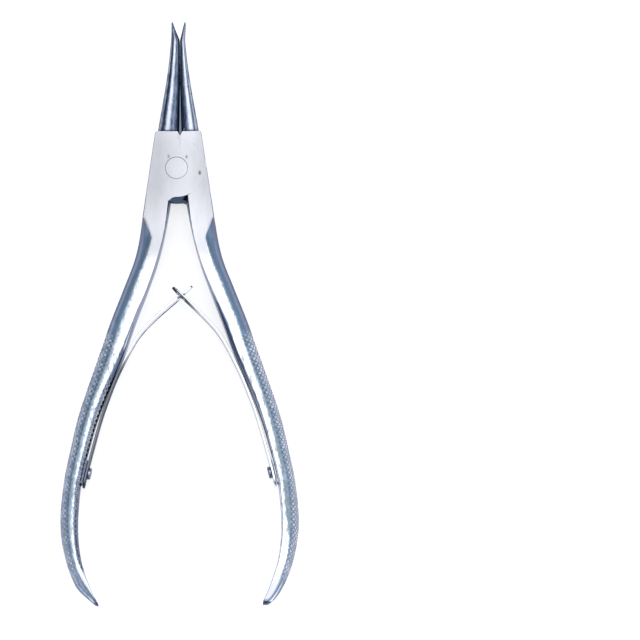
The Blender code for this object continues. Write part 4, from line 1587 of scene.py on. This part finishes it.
def studio_world():
    """White round the camera's view. Reflections see a bright ceiling over blue-grey walls."""
    world = bpy.data.worlds.new("studio")
    bpy.context.scene.world = world
    world.use_nodes = True
    tree = world.node_tree
    x, _, z = split_places(tree, "Generated")
    walls = brighter(ramp(z, SKY_COLOURS), ranged(x, -0.9, 0.9, 1.0, 1.5))
    soft = mixed(ray(tree, "Is Glossy Ray"), SOFT_LIGHT, walls)
    seen = mixed(ray(tree, "Is Camera Ray"), soft, WHITE)
    feed(seen, tree.nodes["Background"].inputs["Color"])


def softbox(name, place, width, height, brightness, colour=WHITE):
    """A soft lamp aimed at the pivot, as bright as a surface of that brightness."""
    lamp = bpy.data.lights.new(name, "AREA")
    lamp.shape = "RECTANGLE"
    lamp.size, lamp.size_y = width, height
    lamp.energy = brightness * math.pi * width * height
    lamp.color = colour
    made = bpy.data.objects.new(name, lamp)
    made.location = place
    made.rotation_euler = (-Vector(place)).to_track_quat("-Z", "Y").to_euler()
    bpy.context.scene.collection.objects.link(made)


def photo_camera():
    """Looks down on the pliers from the jaws' far side, as the photograph does."""
    tilt = math.radians(CAMERA_TILT)
    back = Vector((0, -math.sin(tilt), math.cos(tilt)))
    across = (FRAME_PIXELS / 2 - PIVOT_PIXEL[0]) * METRES_PER_PIXEL
    along = (PIVOT_PIXEL[1] - FRAME_PIXELS / 2) * METRES_PER_PIXEL / math.cos(tilt)
    distance = FRAME_PIXELS * METRES_PER_PIXEL * LENS / SENSOR
    camera = bpy.data.cameras.new("camera")
    camera.lens, camera.sensor_width = LENS, SENSOR
    camera.clip_start, camera.clip_end = 0.1, 10
    made = bpy.data.objects.new("camera", camera)
    bpy.context.scene.collection.objects.link(made)
    pin = Matrix.Translation((0, 0, HEAD_THICKNESS))
    roll = pin @ Matrix.Rotation(math.radians(CAMERA_ROLL), 4, back) @ pin.inverted()
    look = back.to_track_quat("Z", "Y").to_matrix().to_4x4()
    eye = Vector((across, along, HEAD_THICKNESS)) + back * distance
    made.matrix_world = roll @ Matrix.Translation(eye) @ look
    bpy.context.scene.camera = made


forging, jaw, wall = forging_steel(), jaw_steel(), wall_steel()
half_piece(LEFT, "left_forging", "left_half", "left_side", [forging, jaw, wall])
half_piece(RIGHT, "right_forging", "right_half", "right_side", [forging, jaw, wall])
rivet = finished(object_from("flush_rivet", rivet_shape()), rivet_steel(), "pivot_rivet")
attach(rivet, "left_side")
strip = spring_steel()
spring_piece(LEFT, "left_blade", "left_leaf_spring", strip)
spring_piece(RIGHT, "right_blade", "right_leaf_spring", strip)
screw_finish = screw_steel()
screw_piece(LEFT, "left_screw", "left_spring_screw", "left_side", screw_finish)
screw_piece(RIGHT, "right_screw", "right_spring_screw", "right_side", screw_finish)

pale_floor()
studio_world()
softbox("overhead softbox", (0.0, 0.24, 1.05), 0.72, 0.60, 1.05)
softbox("left fill", (-1.1, -0.2, 0.55), 0.5, 0.5, 0.55, COOL)
softbox("right fill", (1.1, 0.1, 0.55), 0.5, 0.5, 0.45, COOL)
photo_camera()
bpy.context.scene.view_settings.view_transform = "Standard"
